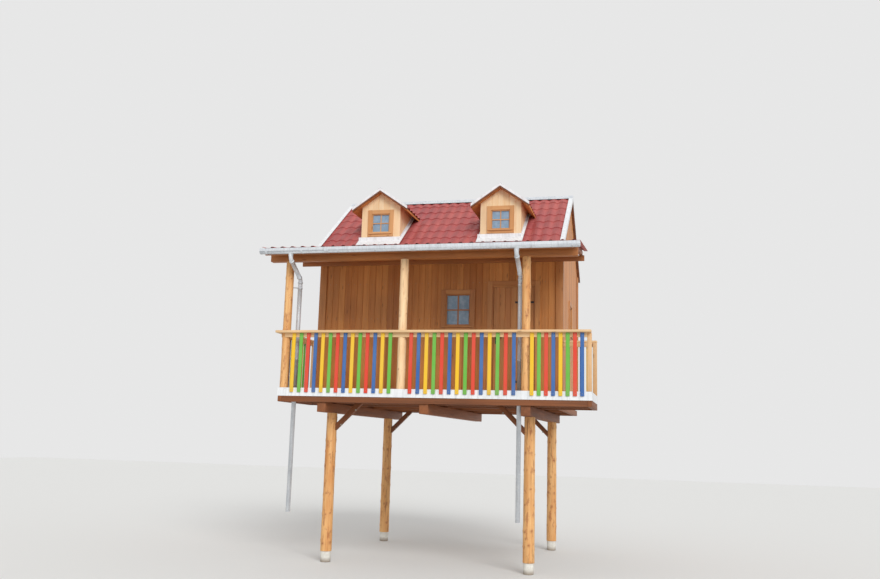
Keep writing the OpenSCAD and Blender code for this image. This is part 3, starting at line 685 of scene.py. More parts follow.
class Form:
    """A mesh that grows part by part. Each part has its own shade and grain."""

    def __init__(self, seed: int = 1) -> None:
        """Starts an empty mesh.

        Args:
            seed: The seed of its parts' shades.
        """
        self.points: list[Vector] = []
        self.faces: list[tuple[int, ...]] = []
        self.shades: list[float] = []
        self.grains: list[Vector] = []
        self.knots: list[float] = []
        self.random = random.Random(seed)
        self.place = Matrix.Identity(4)

    def add(
        self, points: Sequence[Vector], faces: Sequence[Sequence[int]], grain: Vector,
        shade: float | None = None, knots: Sequence[float] | None = None,
    ) -> None:
        """Adds a part.

        Args:
            points: The part's points.
            faces: Its faces, as places in points.
            grain: The direction that its grain runs in.
            shade: Its shade from 0 to 1, or None for a random one.
            knots: How far each point is into a knot, or None for no knots.
        """
        base = len(self.points)
        shade = self.random.random() if shade is None else shade
        points = [self.place @ point for point in points]
        along = (self.place.to_3x3() @ grain).normalized()
        self.points += points
        self.grains += [grained(point, along, shade) for point in points]
        self.shades += [shade] * len(points)
        self.knots += knots or [0.0] * len(points)
        self.faces += [tuple(base + corner for corner in face) for face in faces]

    def loft(self, rings: Sequence[Ring], grain: Vector, **kwargs: Any) -> None:
        """Adds a closed solid through rings of equally many points.

        Args:
            rings: The rings, from one end to the other.
            grain: The direction that its grain runs in.
            **kwargs: The part's shade and knots.
        """
        count = len(rings[0])
        last = (len(rings) - 1) * count
        faces: list[Sequence[int]] = [range(count - 1, -1, -1), range(last, last + count)]
        for base, i in product(range(0, last, count), range(count)):
            after = (i + 1) % count
            faces.append((base + i, base + after, base + count + after, base + count + i))
        self.add([point for ring in rings for point in ring], faces, grain, **kwargs)

    def extrude(self, outline: Ring, way: Vector, grain: Vector | None = None) -> None:
        """Adds a solid that is drawn from an outline along a way."""
        self.loft([outline, [point + way for point in outline]], grain or way)

    def block(self, one: Vector, other: Vector, ease: float = 0.003, **kwargs: Any) -> None:
        """Adds a block with eased edges, whose grain runs along its longest side.

        Args:
            one: One of its corners.
            other: The corner opposite.
            ease: The width of the eased edges.
            **kwargs: The part's shade.
        """
        middle, size = (one + other) / 2, Vector([abs(part) for part in other - one])
        points, faces = eased_box(size, ease)
        longest = max(range(3), key=lambda axis: size[axis])
        self.add([middle + point for point in points], faces, (X, Y, Z)[longest], **kwargs)

    def lathe(
        self, profile: Sequence[Pair], foot: Vector, axis: Vector = Z, sides: int = 24
    ) -> None:
        """Adds a turned solid.

        Args:
            profile: (radius, height) pairs from the foot up.
            foot: Where its axis starts.
            axis: The direction of its axis.
            sides: How many sides its circles have.
        """
        side = axis.orthogonal().normalized()
        other = axis.cross(side)
        turns = [math.tau * i / sides for i in range(sides)]
        self.loft([
            [foot + axis * height + (side * math.cos(t) + other * math.sin(t)) * radius
             for t in turns]
            for radius, height in profile
        ], axis)

    def mesh(self, name: str) -> bpy.types.Mesh:
        """Turns the parts into one mesh with outward faces.

        Args:
            name: The mesh's name.

        Returns:
            The mesh, with its shade, grain and knot attributes.
        """
        made = bpy.data.meshes.new(name)
        made.from_pydata(self.points, [], self.faces)
        store(made, "shade", self.shades)
        store(made, "knot", self.knots)
        store(made, "grain", self.grains)
        turned = bmesh.new()
        turned.from_mesh(made)
        bmesh.ops.recalc_face_normals(turned, faces=turned.faces)
        return settled(turned, made)


def eased_box(size: Vector, ease: float) -> tuple[list[Vector], list[list[int]]]:
    """A box about the origin with a flat ease along each edge.

    Each corner has three points, one on the face across each axis.

    Args:
        size: Its lengths along the three axes.
        ease: The width that is taken off at each edge.

    Returns:
        Its points and its faces.
    """

    def corner(axis: int, *signs: int) -> tuple[int, ...]:
        """A corner's sides along X, Y and Z, by those from an axis on."""
        return tuple(signs[(i - axis) % 3] for i in range(3))

    corners = list(product(SIDES, repeat=3))
    number = {key: place for place, key in enumerate(product(corners, range(3)))}
    points = [
        Vector([side * (size[i] / 2 - ease * (i != axis)) for i, side in enumerate(sides)])
        for sides, axis in number
    ]
    faces = [[number[sides, axis] for axis in range(3)] for sides in corners]
    for axis in range(3):
        for end in SIDES:
            round_it = rectangle(-1, 1, -1, 1)
            faces.append([number[corner(axis, end, a, b), axis] for a, b in round_it])
        for a, b in product(SIDES, repeat=2):
            steps = ((-1, 1), (1, 1), (1, 2), (-1, 2))
            faces.append([number[corner(axis, end, a, b), (axis + on) % 3] for end, on in steps])
    return points, faces


def merged_copy(node: str, flat: bool = True) -> bmesh.types.BMesh:
    """A CAD node's solids as a merged working mesh.

    Args:
        node: The CAD node's name.
        flat: Whether a flat face that was cut into triangles is made one again.

    Returns:
        The working mesh.
    """
    copy = bmesh.new()
    copy.from_mesh(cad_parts[node].data)
    bmesh.ops.remove_doubles(copy, verts=copy.verts, dist=WELD)
    if flat:
        bmesh.ops.dissolve_limit(copy, angle_limit=FLAT, verts=copy.verts, edges=copy.edges)
    return copy


def islands(solid: bmesh.types.BMesh) -> list[list[bmesh.types.BMVert]]:
    """The points of each separate part of a mesh.

    Args:
        solid: The mesh.

    Returns:
        A list of points for each part.
    """
    seen: set[bmesh.types.BMVert] = set()
    found = []
    for start in solid.verts:
        if start in seen:
            continue
        seen.add(start)
        island = [start]
        for vert in island:
            fresh = {edge.other_vert(vert) for edge in vert.link_edges} - seen
            seen |= fresh
            island += fresh
        found.append(island)
    return found


def solid_boxes(node: str) -> list[tuple[Vector, Vector]]:
    """The lowest and highest corner of each solid of a CAD node.

    Args:
        node: The CAD node's name.

    Returns:
        The pairs of corners, ordered by place.
    """
    solid = merged_copy(node)
    boxes = [
        tuple(Vector([pick(vert.co[axis] for vert in island) for axis in range(3)])
              for pick in (min, max))
        for island in islands(solid)
    ]
    solid.free()
    return sorted(boxes, key=lambda box: tuple(round(part, 3) for part in box[0]))


def longest_way(points: Sequence[Vector]) -> Vector:
    """The direction, out of nine, in which some points reach furthest.

    Args:
        points: The points.

    Returns:
        The direction.
    """
    slants = ((1, 0, 1), (1, 0, -1), (0, 1, 1), (0, 1, -1), (1, 1, 0), (1, -1, 0))
    ways = [X, Y, Z] + [Vector(slant).normalized() for slant in slants]
    reaches = [[point.dot(way) for point in points] for way in ways]
    return max(zip(reaches, ways), key=lambda pair: max(pair[0]) - min(pair[0]))[1]


def eased_copy(node: str, ease: float) -> bpy.types.Mesh:
    """A copy of a CAD node with eased edges, and a grain and shade for each of its parts.

    Args:
        node: The CAD node's name.
        ease: The width of the eased edges.

    Returns:
        The copy's mesh.
    """
    solid = merged_copy(node)
    sharp = [e for e in solid.edges if e.is_manifold and e.calc_face_angle(0) > CREASE]
    bmesh.ops.bevel(
        solid, geom=sharp, offset=ease, offset_type="OFFSET", segments=2, profile=0.6,
        affect="EDGES", clamp_overlap=True,
    )
    chance, marks = random.Random(len(node)), {}
    for island in islands(solid):
        mark = (longest_way([vert.co for vert in island]), chance.random())
        marks.update((vert, mark) for vert in island)
    ordered = [marks[vert] for vert in solid.verts]
    mesh = settled(solid, bpy.data.meshes.new(node))
    store(mesh, "shade", [shade for _, shade in ordered])
    store(mesh, "grain", [
        grained(vertex.co, *mark) for vertex, mark in zip(mesh.vertices, ordered)
    ])
    return mesh


def plain_copy(node: str) -> bpy.types.Mesh:
    """A merged, smoothly shaded copy of a CAD node with a grain.

    Args:
        node: The CAD node's name.

    Returns:
        The copy's mesh.
    """
    mesh = settled(merged_copy(node, False), bpy.data.meshes.new(node))
    store(mesh, "shade", [0.5] * len(mesh.vertices))
    store(mesh, "grain", [vertex.co.copy() for vertex in mesh.vertices])
    return mesh


def sliced(
    knife: bmesh.types.BMesh, place: Vector, normal: Vector, **settings: bool
) -> list[bmesh.types.BMEdge]:
    """Slices a working mesh by a plane.

    Args:
        knife: The working mesh.
        place: A place on the plane.
        normal: The plane's normal.
        **settings: What the slice takes away.

    Returns:
        The edges on the plane.
    """
    geometry = [*knife.verts, *knife.edges, *knife.faces]
    found = bmesh.ops.bisect_plane(
        knife, geom=geometry, plane_co=place, plane_no=normal, **settings
    )
    return [part for part in found["geom_cut"] if isinstance(part, bmesh.types.BMEdge)]


def cut(mesh: bpy.types.Mesh, place: Vector, normal: Vector, closed: bool = True) -> None:
    """Cuts a mesh by a plane and keeps the part on the side that the normal points to.

    Args:
        mesh: The mesh.
        place: A place on the plane.
        normal: The plane's normal.
        closed: Whether the parts are solids, whose cut ends are closed again.
    """
    knife = bmesh.new()
    knife.from_mesh(mesh)
    rims = sliced(knife, place, normal, clear_inner=True)
    if closed:
        bmesh.ops.holes_fill(knife, edges=rims)
        bmesh.ops.recalc_face_normals(knife, faces=knife.faces)
    settled(knife, mesh)


# ----------------------------------------------------- geometry node recipes


class Recipe(NodeSheet):
    """A geometry node tree with named inputs, which is run once to give a plain mesh."""

    def __init__(self, name: str, **inputs: str) -> None:
        """Makes the tree.

        Args:
            name: The tree's name.
            **inputs: Its inputs, named with _ for a space, each with its socket type's last word.
        """
        tree = bpy.data.node_groups.new(name, "GeometryNodeTree")
        labels = {label.replace("_", " "): kind for label, kind in inputs.items()}
        for label, kind in {"Source": "Geometry", **labels}.items():
            tree.interface.new_socket(label, in_out="INPUT", socket_type=f"NodeSocket{kind}")
        tree.interface.new_socket("Result", in_out="OUTPUT", socket_type="NodeSocketGeometry")
        super().__init__(tree)
        self.given = self.add("NodeGroupInput").outputs
        self.result = self.add("NodeGroupOutput").inputs["Result"]

    def value(self, name: str) -> Value:
        """A number among the tree's inputs."""
        return Value(self, self.given[name])

    def named(self, name: str, kind: str = "FLOAT") -> Any:
        """A named attribute of the geometry."""
        node = self.add("GeometryNodeInputNamedAttribute", {"Name": name}, data_type=kind)
        return node.outputs["Attribute"]

    def keep(self, geometry: Any, name: str, value: Any, domain: str, kind: str = "FLOAT") -> Any:
        """Keeps a value on the geometry as a named attribute.

        Args:
            geometry: The geometry's socket.
            name: The attribute's name.
            value: The value or its socket.
            domain: What has one value each: POINT or INSTANCE.
            kind: The attribute's type.

        Returns:
            The socket of the geometry with the attribute.
        """
        inputs = {"Geometry": geometry, "Name": name, "Value": value}
        node = self.add("GeometryNodeStoreNamedAttribute", inputs, data_type=kind, domain=domain)
        return node.outputs["Geometry"]

    def chance(self, low: float = 0.0, high: float = 1.0) -> Any:
        """A random number for each item, from the tree's own seed.

        Args:
            low: The lowest that it may be.
            high: The highest that it may be.

        Returns:
            The number's socket.
        """
        inputs = {"Min_001": low, "Max_001": high, "Seed": self.given["Seed"]}
        node = self.add("FunctionNodeRandomValue", inputs, data_type="FLOAT")
        return self.find(node.outputs, "Value_001")

    def instances(self, points: Any, **inputs: Any) -> Any:
        """The given item on every point.

        Args:
            points: The points' socket.
            **inputs: More inputs of the instancing node.

        Returns:
            The instances' socket.
        """
        item = self.add("GeometryNodeObjectInfo", {"Object": self.given["Item"]})
        inputs |= {"Points": points, "Instance": item.outputs["Geometry"]}
        return self.add("GeometryNodeInstanceOnPoints", inputs).outputs["Instances"]

    def realize(self, geometry: Any) -> Any:
        """Turns instances into plain geometry."""
        return self.add("GeometryNodeRealizeInstances", {"Geometry": geometry}).outputs["Geometry"]

    def end(self, geometry: Any, finishes: Sequence[Any], number: Value | None = None) -> None:
        """Realizes the geometry, gives it its finishes and ends the tree.

        Args:
            geometry: The geometry socket.
            finishes: The material sockets.
            number: Which finish a face has, where there are several.
        """
        geometry = self.realize(geometry)
        for place, finish in enumerate(finishes):
            inputs = {"Geometry": geometry, "Material": finish}
            if number is not None:
                inputs["Selection"] = self.add(
                    "FunctionNodeCompare", {"A": number, "B": float(place), "Epsilon": 0.25},
                    data_type="FLOAT", operation="EQUAL",
                ).outputs["Result"]
            geometry = self.add("GeometryNodeSetMaterial", inputs).outputs["Geometry"]
        self.fill(self.result, geometry)

    def run(self, name: str, source: bpy.types.Mesh | None = None, **inputs: Any) -> bpy.types.Mesh:
        """Runs the tree.

        Args:
            name: The resulting mesh's name.
            source: The mesh that the tree starts from, if any.
            **inputs: The tree's inputs, named with _ for a space. A form is a given item.

        Returns:
            The result as a plain mesh.
        """
        items = {
            label: bpy.data.objects.new(f"{name}_item", given.mesh(f"{name}_item"))
            for label, given in inputs.items() if isinstance(given, Form)
        }
        inputs |= items
        holder = linked(name, source or bpy.data.meshes.new(f"{name}_source"))
        modifier = holder.modifiers.new("recipe", "NODES")
        modifier.node_group = self.tree
        for socket in self.tree.interface.items_tree:
            label = socket.name.replace(" ", "_")
            if socket.in_out == "INPUT" and label in inputs:
                modifier[socket.identifier] = inputs[label]
        made = evaluated(holder)
        made.name = name
        for item in items.values():
            bpy.data.objects.remove(item)
        return made


class RowRecipe(Recipe):
    """Repeats one item along a straight line, with a shade and one of several finishes each."""

    def __init__(self, finish_count: int) -> None:
        """Builds the tree.

        Args:
            finish_count: How many finishes the row repeats.
        """
        super().__init__(
            "row_of_items", Item="Object", Count="Int", Start="Vector", Step="Vector", Seed="Int",
            First="Int", **{f"Finish_{i}": "Material" for i in range(finish_count)},
        )
        line = self.add("GeometryNodeMeshLine", {
            "Count": self.given["Count"], "Start Location": self.given["Start"],
            "Offset": self.given["Step"],
        }, mode="OFFSET")
        row = self.instances(line.outputs["Mesh"])
        row = self.keep(row, "shade", self.chance(), "INSTANCE")
        index = Value(self, self.add("GeometryNodeInputIndex").outputs["Index"])
        turn = (index + self.value("First")) % float(finish_count)
        row = self.realize(self.keep(row, "turn", turn, "INSTANCE"))
        row = self.keep(row, "grain", self._shifted_grain(), "POINT", "FLOAT_VECTOR")
        finishes = [self.given[f"Finish {i}"] for i in range(finish_count)]
        self.end(row, finishes, Value(self, self.named("turn")))

    def _shifted_grain(self) -> Any:
        """The item's grain, moved on by each one's shade so that no two are alike.

        Returns:
            The grain's socket.
        """
        shade = Value(self, self.named("shade"))
        shift = self.add("ShaderNodeCombineXYZ", {i: n * shade for i, n in enumerate(GRAIN_SHIFT)})
        ways = {0: self.named("grain", "FLOAT_VECTOR"), 1: shift.outputs["Vector"]}
        return self.add("ShaderNodeVectorMath", ways, operation="ADD").outputs["Vector"]


class HeadRecipe(Recipe):
    """Puts a screw's head on every point of a source mesh.

    DOME is the head's profile as shares of its radius, SIDES_ROUND how many sides it has, SIZES
    the shares between which its size varies and SEED the seed that they vary by.
    """

    DOME = ((1, -0.4), (1, 0.2), (0.6, 0.5))
    SIDES_ROUND = 10
    SIZES = (0.92, 1.08)
    SEED = 3

    def __init__(self) -> None:
        """Builds the tree."""
        super().__init__(
            "heads_on_points", Item="Object", Turn="Vector", Seed="Int", Finish="Material"
        )
        size = self.chance(*self.SIZES)
        heads = self.instances(self.given["Source"], Rotation=self.given["Turn"], Scale=size)
        self.end(heads, [self.given["Finish"]])


class TileRecipe(Recipe):
    """Pressed tile sheet: waves across the slope and a step at each course up it.

    ROWS is how many rows of points a course has, REACH how far up it they go, BULGE how full
    its waves are, and PAINTED_SHADE how much painted shade the troughs and each step's foot get.
    """

    ROWS = 4
    REACH = 0.985
    BULGE = 0.6
    PAINTED_SHADE = (0.7, 0.3)

    def __init__(self) -> None:
        """Builds the tree. The sheet's origin is the left end of its eave, at the wave's crest."""
        super().__init__(
            "tile_sheet", Columns="Int", Courses="Int", Width="Float", Course="Float",
            Pitch="Float", Wave="Float", Drop="Float", Finish="Material",
        )
        rows = self.value("Courses") * self.ROWS
        grid = self.add("GeometryNodeMeshGrid", {
            "Size X": self.given["Width"], "Size Y": rows - 1,
            "Vertices X": self.given["Columns"], "Vertices Y": rows,
        }).outputs["Mesh"]
        place = self.add("GeometryNodeInputPosition").outputs[0]
        across = self.part_of(place, "X") + 0.5 * self.value("Width")
        row = (self.part_of(place, "Y") + 0.5 * (rows - 1) + 0.5).function("FLOOR")
        within = row % self.ROWS
        course = (row - within) * (1 / self.ROWS)
        share = within * (self.REACH / (self.ROWS - 1))
        up = (course + share) * self.value("Course")
        crest = 0.5 + 0.5 * (across / self.value("Pitch") * math.tau).function("COSINE")
        dip = 1 - crest * (1 + self.BULGE - self.BULGE * crest)
        out = 0 - dip * self.value("Wave") - share * self.value("Drop")
        moved = self.add("ShaderNodeCombineXYZ", {0: across, 1: up, 2: out}).outputs[0]
        inputs = {"Geometry": grid, "Position": moved}
        sheet = self.add("GeometryNodeSetPosition", inputs).outputs["Geometry"]
        # dip is stored as painted shade: darkest in the wave's troughs and at the foot of each
        # step.
        wave_shade, step_shade = self.PAINTED_SHADE
        sheet = self.keep(sheet, "dip", dip * wave_shade + share * step_shade, "POINT")
        self.end(sheet, [self.given["Finish"]])


HEADS = HeadRecipe()
TILES = TileRecipe()
PAINTED_ROW = RowRecipe(4)
PLAIN_ROW = RowRecipe(1)


# ------------------------------------------------------------- sub-assemblies


@dataclass
class SubAssembly(ABC):
    """A part of the house that makes its own pieces and dresses its CAD nodes."""

    @abstractmethod
    def build(self) -> None:
        """Makes every piece of the sub-assembly."""

    def piece(
        self, name: str, made: Form | bpy.types.Mesh, slot: Slot, finish: Finish | None,
        *stands_for: str,
    ) -> None:
        """Makes a finished piece of the house.

        Args:
            name: The piece's name.
            made: Its form or mesh, in the frame's own place.
            slot: The record's slot for the piece. It is not used.
            finish: Its finish, or None where the mesh already has its materials.
            *stands_for: The CAD nodes that it is shown instead of.
        """
        mesh = made.mesh(name) if isinstance(made, Form) else made
        if finish:
            mesh.materials.clear()
            mesh.materials.append(finish.material())
        piece = linked(name, mesh)
        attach(piece, BODY)
        if stands_for:
            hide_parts(*stands_for)
        log.info("%s: %d faces", name, len(mesh.polygons))

    def dress(self, node: str, finish: Finish) -> None:
        """Gives a CAD node that stays as it is its finish.

        Args:
            node: The CAD node's name.
            finish: Its finish.
        """
        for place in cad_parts[node].material_slots:
            place.material = finish.material()
        log.info("%s: %s", node, finish.name)

    def ease(self, node: str, slot: Slot, finish: Finish, ease: float) -> None:
        """Shows a CAD node with eased edges and a grain."""
        self.piece(f"{node}_eased", eased_copy(node, ease), slot, finish, node)

    def heads(
        self, name: str, places: Sequence[Vector], way: Vector, radius: float, slot: Slot,
        finish: Finish = Finishes.screws,
    ) -> None:
        """Puts a domed head on each place.

        Args:
            name: The piece's name.
            places: Where the heads' undersides are.
            way: The direction that the heads face.
            radius: A head's radius.
            slot: The record's slot for the heads.
            finish: The heads' finish.
        """
        head = Form()
        dome = [(radius * across, radius * up) for across, up in HEADS.DOME]
        head.lathe(dome, Vector(), Z, HEADS.SIDES_ROUND)
        points = bpy.data.meshes.new(f"{name}_points")
        points.from_pydata(places, [], [])
        mesh = HEADS.run(
            name, points, Item=head, Turn=way.to_track_quat("Z", "Y").to_euler(),
            Seed=HEADS.SEED, Finish=finish.material(),
        )
        crease(mesh)
        self.piece(name, mesh, slot, None)


@dataclass
class PeeledTrunk:
    """A straight log in a box, with a taper, slight swellings and whorls of knots."""

    low: Vector
    high: Vector
    foot_radius: float
    top_radius: float
    seed: int
    whorl_pitch: float = 0.36
    whorl_knots: int = 5
    first_whorl: Pair = (0.3, 0.9)
    whorl_steps: Pair = (0.6, 1.3)
    turn_spread: float = 0.3
    height_spread: float = 0.035
    knot_size: float = 0.024
    knot_sizes: Pair = (0.5, 1.15)
    knot_rise: float = 0.006
    swelling: float = 0.035
    swell_round: float = 0.9
    swell_up: float = 2.2
    step: float = 0.025
    sides: int = 40

    @property
    def height(self) -> float:
        """The log's length."""
        return self.high.z - self.low.z

    def knots(self, chance: random.Random) -> list[tuple[float, float, float]]:
        """Places the knots in loose whorls, one above another.

        Args:
            chance: The source of random draws.

        Returns:
            Each knot's turn about the log, its height and its size.
        """
        knots = []
        z = self.whorl_pitch * chance.uniform(*self.first_whorl)
        while z < self.height - self.knot_size:
            first = chance.uniform(0, math.tau)
            for i in range(self.whorl_knots):
                aside = chance.uniform(-self.turn_spread, self.turn_spread)
                above = chance.uniform(-self.height_spread, self.height_spread)
                size = self.knot_size * chance.uniform(*self.knot_sizes)
                knots.append((first + math.tau * i / self.whorl_knots + aside, z + above, size))
            z += self.whorl_pitch * chance.uniform(*self.whorl_steps)
        return knots

    def add_to(self, form: Form) -> None:
        """Adds the log to a form.

        Args:
            form: The form.
        """
        foot = at((self.low.x + self.high.x) / 2, (self.low.y + self.high.y) / 2, self.low.z)
        knots = self.knots(random.Random(self.seed))
        count = math.ceil(self.height / self.step)
        rings, depths = [], []
        for level in range(count + 1):
            z = self.height * level / count
            mean = self.foot_radius + (self.top_radius - self.foot_radius) * z / self.height
            ring = []
            for i in range(self.sides):
                turn = math.tau * i / self.sides
                way = at(math.cos(turn), math.sin(turn), 0)
                wave = noise.noise(way * self.swell_round + at(0, self.seed, z * self.swell_up))
                radius, depth = mean * (1 + self.swelling * wave), 0.0
                for angle, height, size in knots:
                    across = mean * math.remainder(turn - angle, math.tau)
                    near = math.exp(-(across ** 2 + (z - height) ** 2) / (2 * size ** 2))
                    radius += self.knot_rise * near
                    depth = max(depth, near ** 3)
                ring.append(foot + way * radius + Z * z)
                depths.append(depth)
            rings.append(ring)
        form.loft(rings, Z, knots=depths)


@dataclass
class Groundwork(SubAssembly):
    """Footings, peeled log legs with their braces, and the timbers that they carry."""

    footing_ease: float = 0.012
    timber_ease: float = 0.006
    foot_radius: float = 0.095
    top_radius: float = 0.0875
    bolt_radius: float = 0.014
    bolt_shares: Pair = (0.22, 0.78)

    def build(self) -> None:
        """Makes every piece of the sub-assembly."""
        self.ease("footings", Slot.WHITE_METAL, Finishes.footing, self.footing_ease)
        legs = Form(11)
        for seed, box in enumerate(solid_boxes("legs"), 3):
            PeeledTrunk(*box, self.foot_radius, self.top_radius, seed).add_to(legs)
        self.piece("leg_logs", legs, Slot.PEELED_LOG, Finishes.honey_log, "legs")
        for node in ("knee_braces", "bearers", "floor_joists", "edge_beams"):
            self.ease(node, Slot.DARK_TIMBER, Finishes.dark_beam, self.timber_ease)
        self.brace_bolts()

    def brace_bolts(self) -> None:
        """Puts two bolts through the front of each knee brace."""
        places = []
        for low, high in solid_boxes("knee_braces"):
            for share in self.bolt_shares:
                across = share if low.x < 0 else 1 - share
                places.append(at(
                    low.x + (high.x - low.x) * across, low.y, low.z + (high.z - low.z) * share
                ))
        self.heads("brace_bolts", places, -Y, self.bolt_radius, Slot.GALVANISED)


@dataclass
class Platform(SubAssembly):
    """The boarded deck with its pipe holes, the loft's floor and the metal strip on the edge."""

    board: float = 0.140
    gap: float = 0.006
    ease: float = 0.004
    pipe_radius: float = 0.0435
    pipe_ways: tuple[Pair, ...] = ((-2.23, -2.1275), (1.625, -2.1275))
    pipe_past: float = 0.1
    screw_lines: tuple[float, ...] = (-2.285, -1.60, -0.885)
    screw_radius: float = 0.0045
    sunk: float = 0.0015
    seam: float = 0.05
    seam_places: tuple[float, ...] = (-1.45, 0.52, 2.42)
    seam_past: Vector = field(default_factory=lambda: at(0, 0.002, 0.001))
    seam_ease: float = 0.0008
    lip: float = 0.004
    lip_ease: float = 0.002
    strip_screw_radius: float = 0.005
    strip_screw_pitch: float = 0.262
    strip_screw_inset: float = 0.012

    def build(self) -> None:
        """Makes every piece of the sub-assembly."""
        self.deck()
        loft = self.planks("loft_planks", *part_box("loft_floor"), 8)
        self.piece("loft_planks", loft, Slot.DECK_BOARDS, Finishes.deck, "loft_floor")
        self.edge_strip()

    def spacing(self, low: Vector, high: Vector) -> tuple[int, float]:
        """How many boards a floor has along X, and their pitch."""
        count = round((high.x - low.x) / (self.board + self.gap))
        return count, (high.x - low.x) / count

    def planks(self, name: str, low: Vector, high: Vector, seed: int) -> bpy.types.Mesh:
        """A floor of planks along Y between two corners.

        Args:
            name: The mesh's name.
            low: The floor's lowest corner.
            high: The floor's highest corner.
            seed: The seed of the planks' shades.

        Returns:
            The floor's mesh.
        """
        count, pitch = self.spacing(low, high)
        plank = Form()
        across, along = (pitch - self.gap) / 2, (high.y - low.y) / 2
        plank.block(at(-across, -along, 0), at(across, along, high.z - low.z), self.ease, shade=0.0)
        return PLAIN_ROW.run(
            name, Item=plank, Count=count, Start=(low.x + pitch / 2, (low.y + high.y) / 2, low.z),
            Step=(pitch, 0.0, 0.0), Seed=seed, First=0, Finish_0=Finishes.deck.material(),
        )

    def deck(self) -> None:
        """Makes the veranda's boards and the boards under the house."""
        low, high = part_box("deck")
        house_low, house_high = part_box("front_wall")
        front = self.planks("deck_front", low, at(high.x, house_low.y, high.z), 5)
        back = self.planks(
            "deck_back", at(house_low.x, house_low.y, low.z), at(house_high.x, high.y, high.z), 6
        )
        holes = Form()
        for x, y in self.pipe_ways:
            rims = [(self.pipe_radius, end * self.pipe_past) for end in SIDES]
            holes.lathe(rims, at(x, y, high.z))
        cutter = bpy.data.objects.new("pipe_holes", holes.mesh("pipe_holes"))
        front = modified(front, "BOOLEAN", object=cutter, operation="DIFFERENCE")
        bpy.data.objects.remove(cutter)
        planks = joined("deck_planks", front, back)
        self.piece("deck_planks", planks, Slot.DECK_BOARDS, Finishes.deck, "deck")
        count, pitch = self.spacing(low, high)
        screws = [
            at(low.x + (i + 0.5) * pitch + side * self.board / 4, y, high.z - self.sunk)
            for i in range(count) for side in SIDES for y in self.screw_lines
        ]
        self.heads("deck_screws", screws, Z, self.screw_radius, Slot.DECK_BOARDS)

    def edge_strip(self) -> None:
        """Dresses the metal strip and adds the covers over its joints and its lower lip."""
        self.dress("deck_fascia", Finishes.white_metal)
        low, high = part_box("deck_fascia")
        covers, past, lip = Form(4), self.seam_past, self.lip
        for x in self.seam_places:
            half = self.seam / 2
            covers.block(at(x - half, low.y, low.z) - past, at(x + half, low.y, high.z) + past,
                         self.seam_ease)
        covers.block(low - at(lip, lip, lip), at(high.x + lip, low.y + lip, low.z + lip),
                     self.lip_ease)
        self.piece("edge_strip_covers", covers, Slot.WHITE_METAL, Finishes.white_metal)
        pitch = self.strip_screw_pitch
        places = [
            at(low.x + (i + 0.5) * pitch, low.y, high.z - self.strip_screw_inset)
            for i in range(int((high.x - low.x) / pitch))
        ]
        self.heads("edge_strip_screws", places, -Y, self.strip_screw_radius, Slot.WHITE_METAL)


@dataclass
class Veranda(SubAssembly):
    """The log posts, the beams and rafters on them, and the profiled roof sheet."""

    foot_radius: float = 0.0714
    top_radius: float = 0.0679
    timber_ease: float = 0.006
    sheet_pitch: float = 0.183
    rib: float = 0.019
    sheet: float = 0.002
    rib_shares: tuple[float, ...] = (0.0, 0.16, 0.30, 0.86)
    rib_tops: tuple[int, ...] = (1, 1, 0, 0)
    screw_rows: tuple[float, ...] = (-2.50, -1.95, -1.40, -0.92)
    screw_radius: float = 0.008

    def build(self) -> None:
        """Makes every piece of the sub-assembly."""
        for node, slot, finish, seed in (
            ("left_post", Slot.PEELED_LOG, Finishes.honey_log, 21),
            ("middle_post", Slot.PALE_LOG, Finishes.cream_log, 23),
            ("right_post", Slot.PEELED_LOG, Finishes.honey_log, 27),
        ):
            post = Form(seed)
            PeeledTrunk(*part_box(node), self.foot_radius, self.top_radius, seed, whorl_pitch=0.42,
                        whorl_knots=4, knot_size=0.02).add_to(post)
            self.piece(f"{node}_log", post, slot, finish, node)
        for node in ("veranda_beams", "veranda_rafters", "eave_board"):
            self.ease(node, Slot.DARK_TIMBER, Finishes.eave_timber, self.timber_ease)
        self.roof_sheet()

    def roof_sheet(self) -> None:
        """Makes the veranda's roof sheet with its flat-topped ribs."""
        low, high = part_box("veranda_roof")
        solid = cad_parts["veranda_roof"].data
        eave = [point.co.z for point in solid.vertices if point.co.y < low.y + NEAR]
        fall = high.z - low.z - (max(eave) - min(eave))
        slope = fall / (high.y - low.y)
        count = math.ceil((high.x - low.x) / self.sheet_pitch)
        stations = [
            (x, top) for wave in range(count) for share, top in zip(self.rib_shares, self.rib_tops)
            if (x := low.x + (wave + share) * self.sheet_pitch) < high.x
        ]
        stations.append((high.x, stations[-1][1]))
        sheet, skin = Form(31), Z * self.sheet
        rings = []
        for x, top in stations:
            back = at(x, high.y, high.z - (0 if top else self.rib))
            front = at(x, low.y, back.z - fall)
            rings.append([front, back, back - skin, front - skin])
        sheet.loft(rings, Y)
        self.piece("veranda_sheet", sheet, Slot.ROOF_SHEET, Finishes.tiles, "veranda_roof")
        trough = (self.rib_shares[2] + self.rib_shares[3]) / 2
        screws = [
            at(low.x + (wave + trough) * self.sheet_pitch, y,
               high.z - (high.y - y) * slope - self.rib)
            for wave in range(0, count - 1, 2) for y in self.screw_rows
        ]
        self.heads("sheet_screws", screws, Z, self.screw_radius, Slot.ROOF_SHEET, Finishes.tiles)


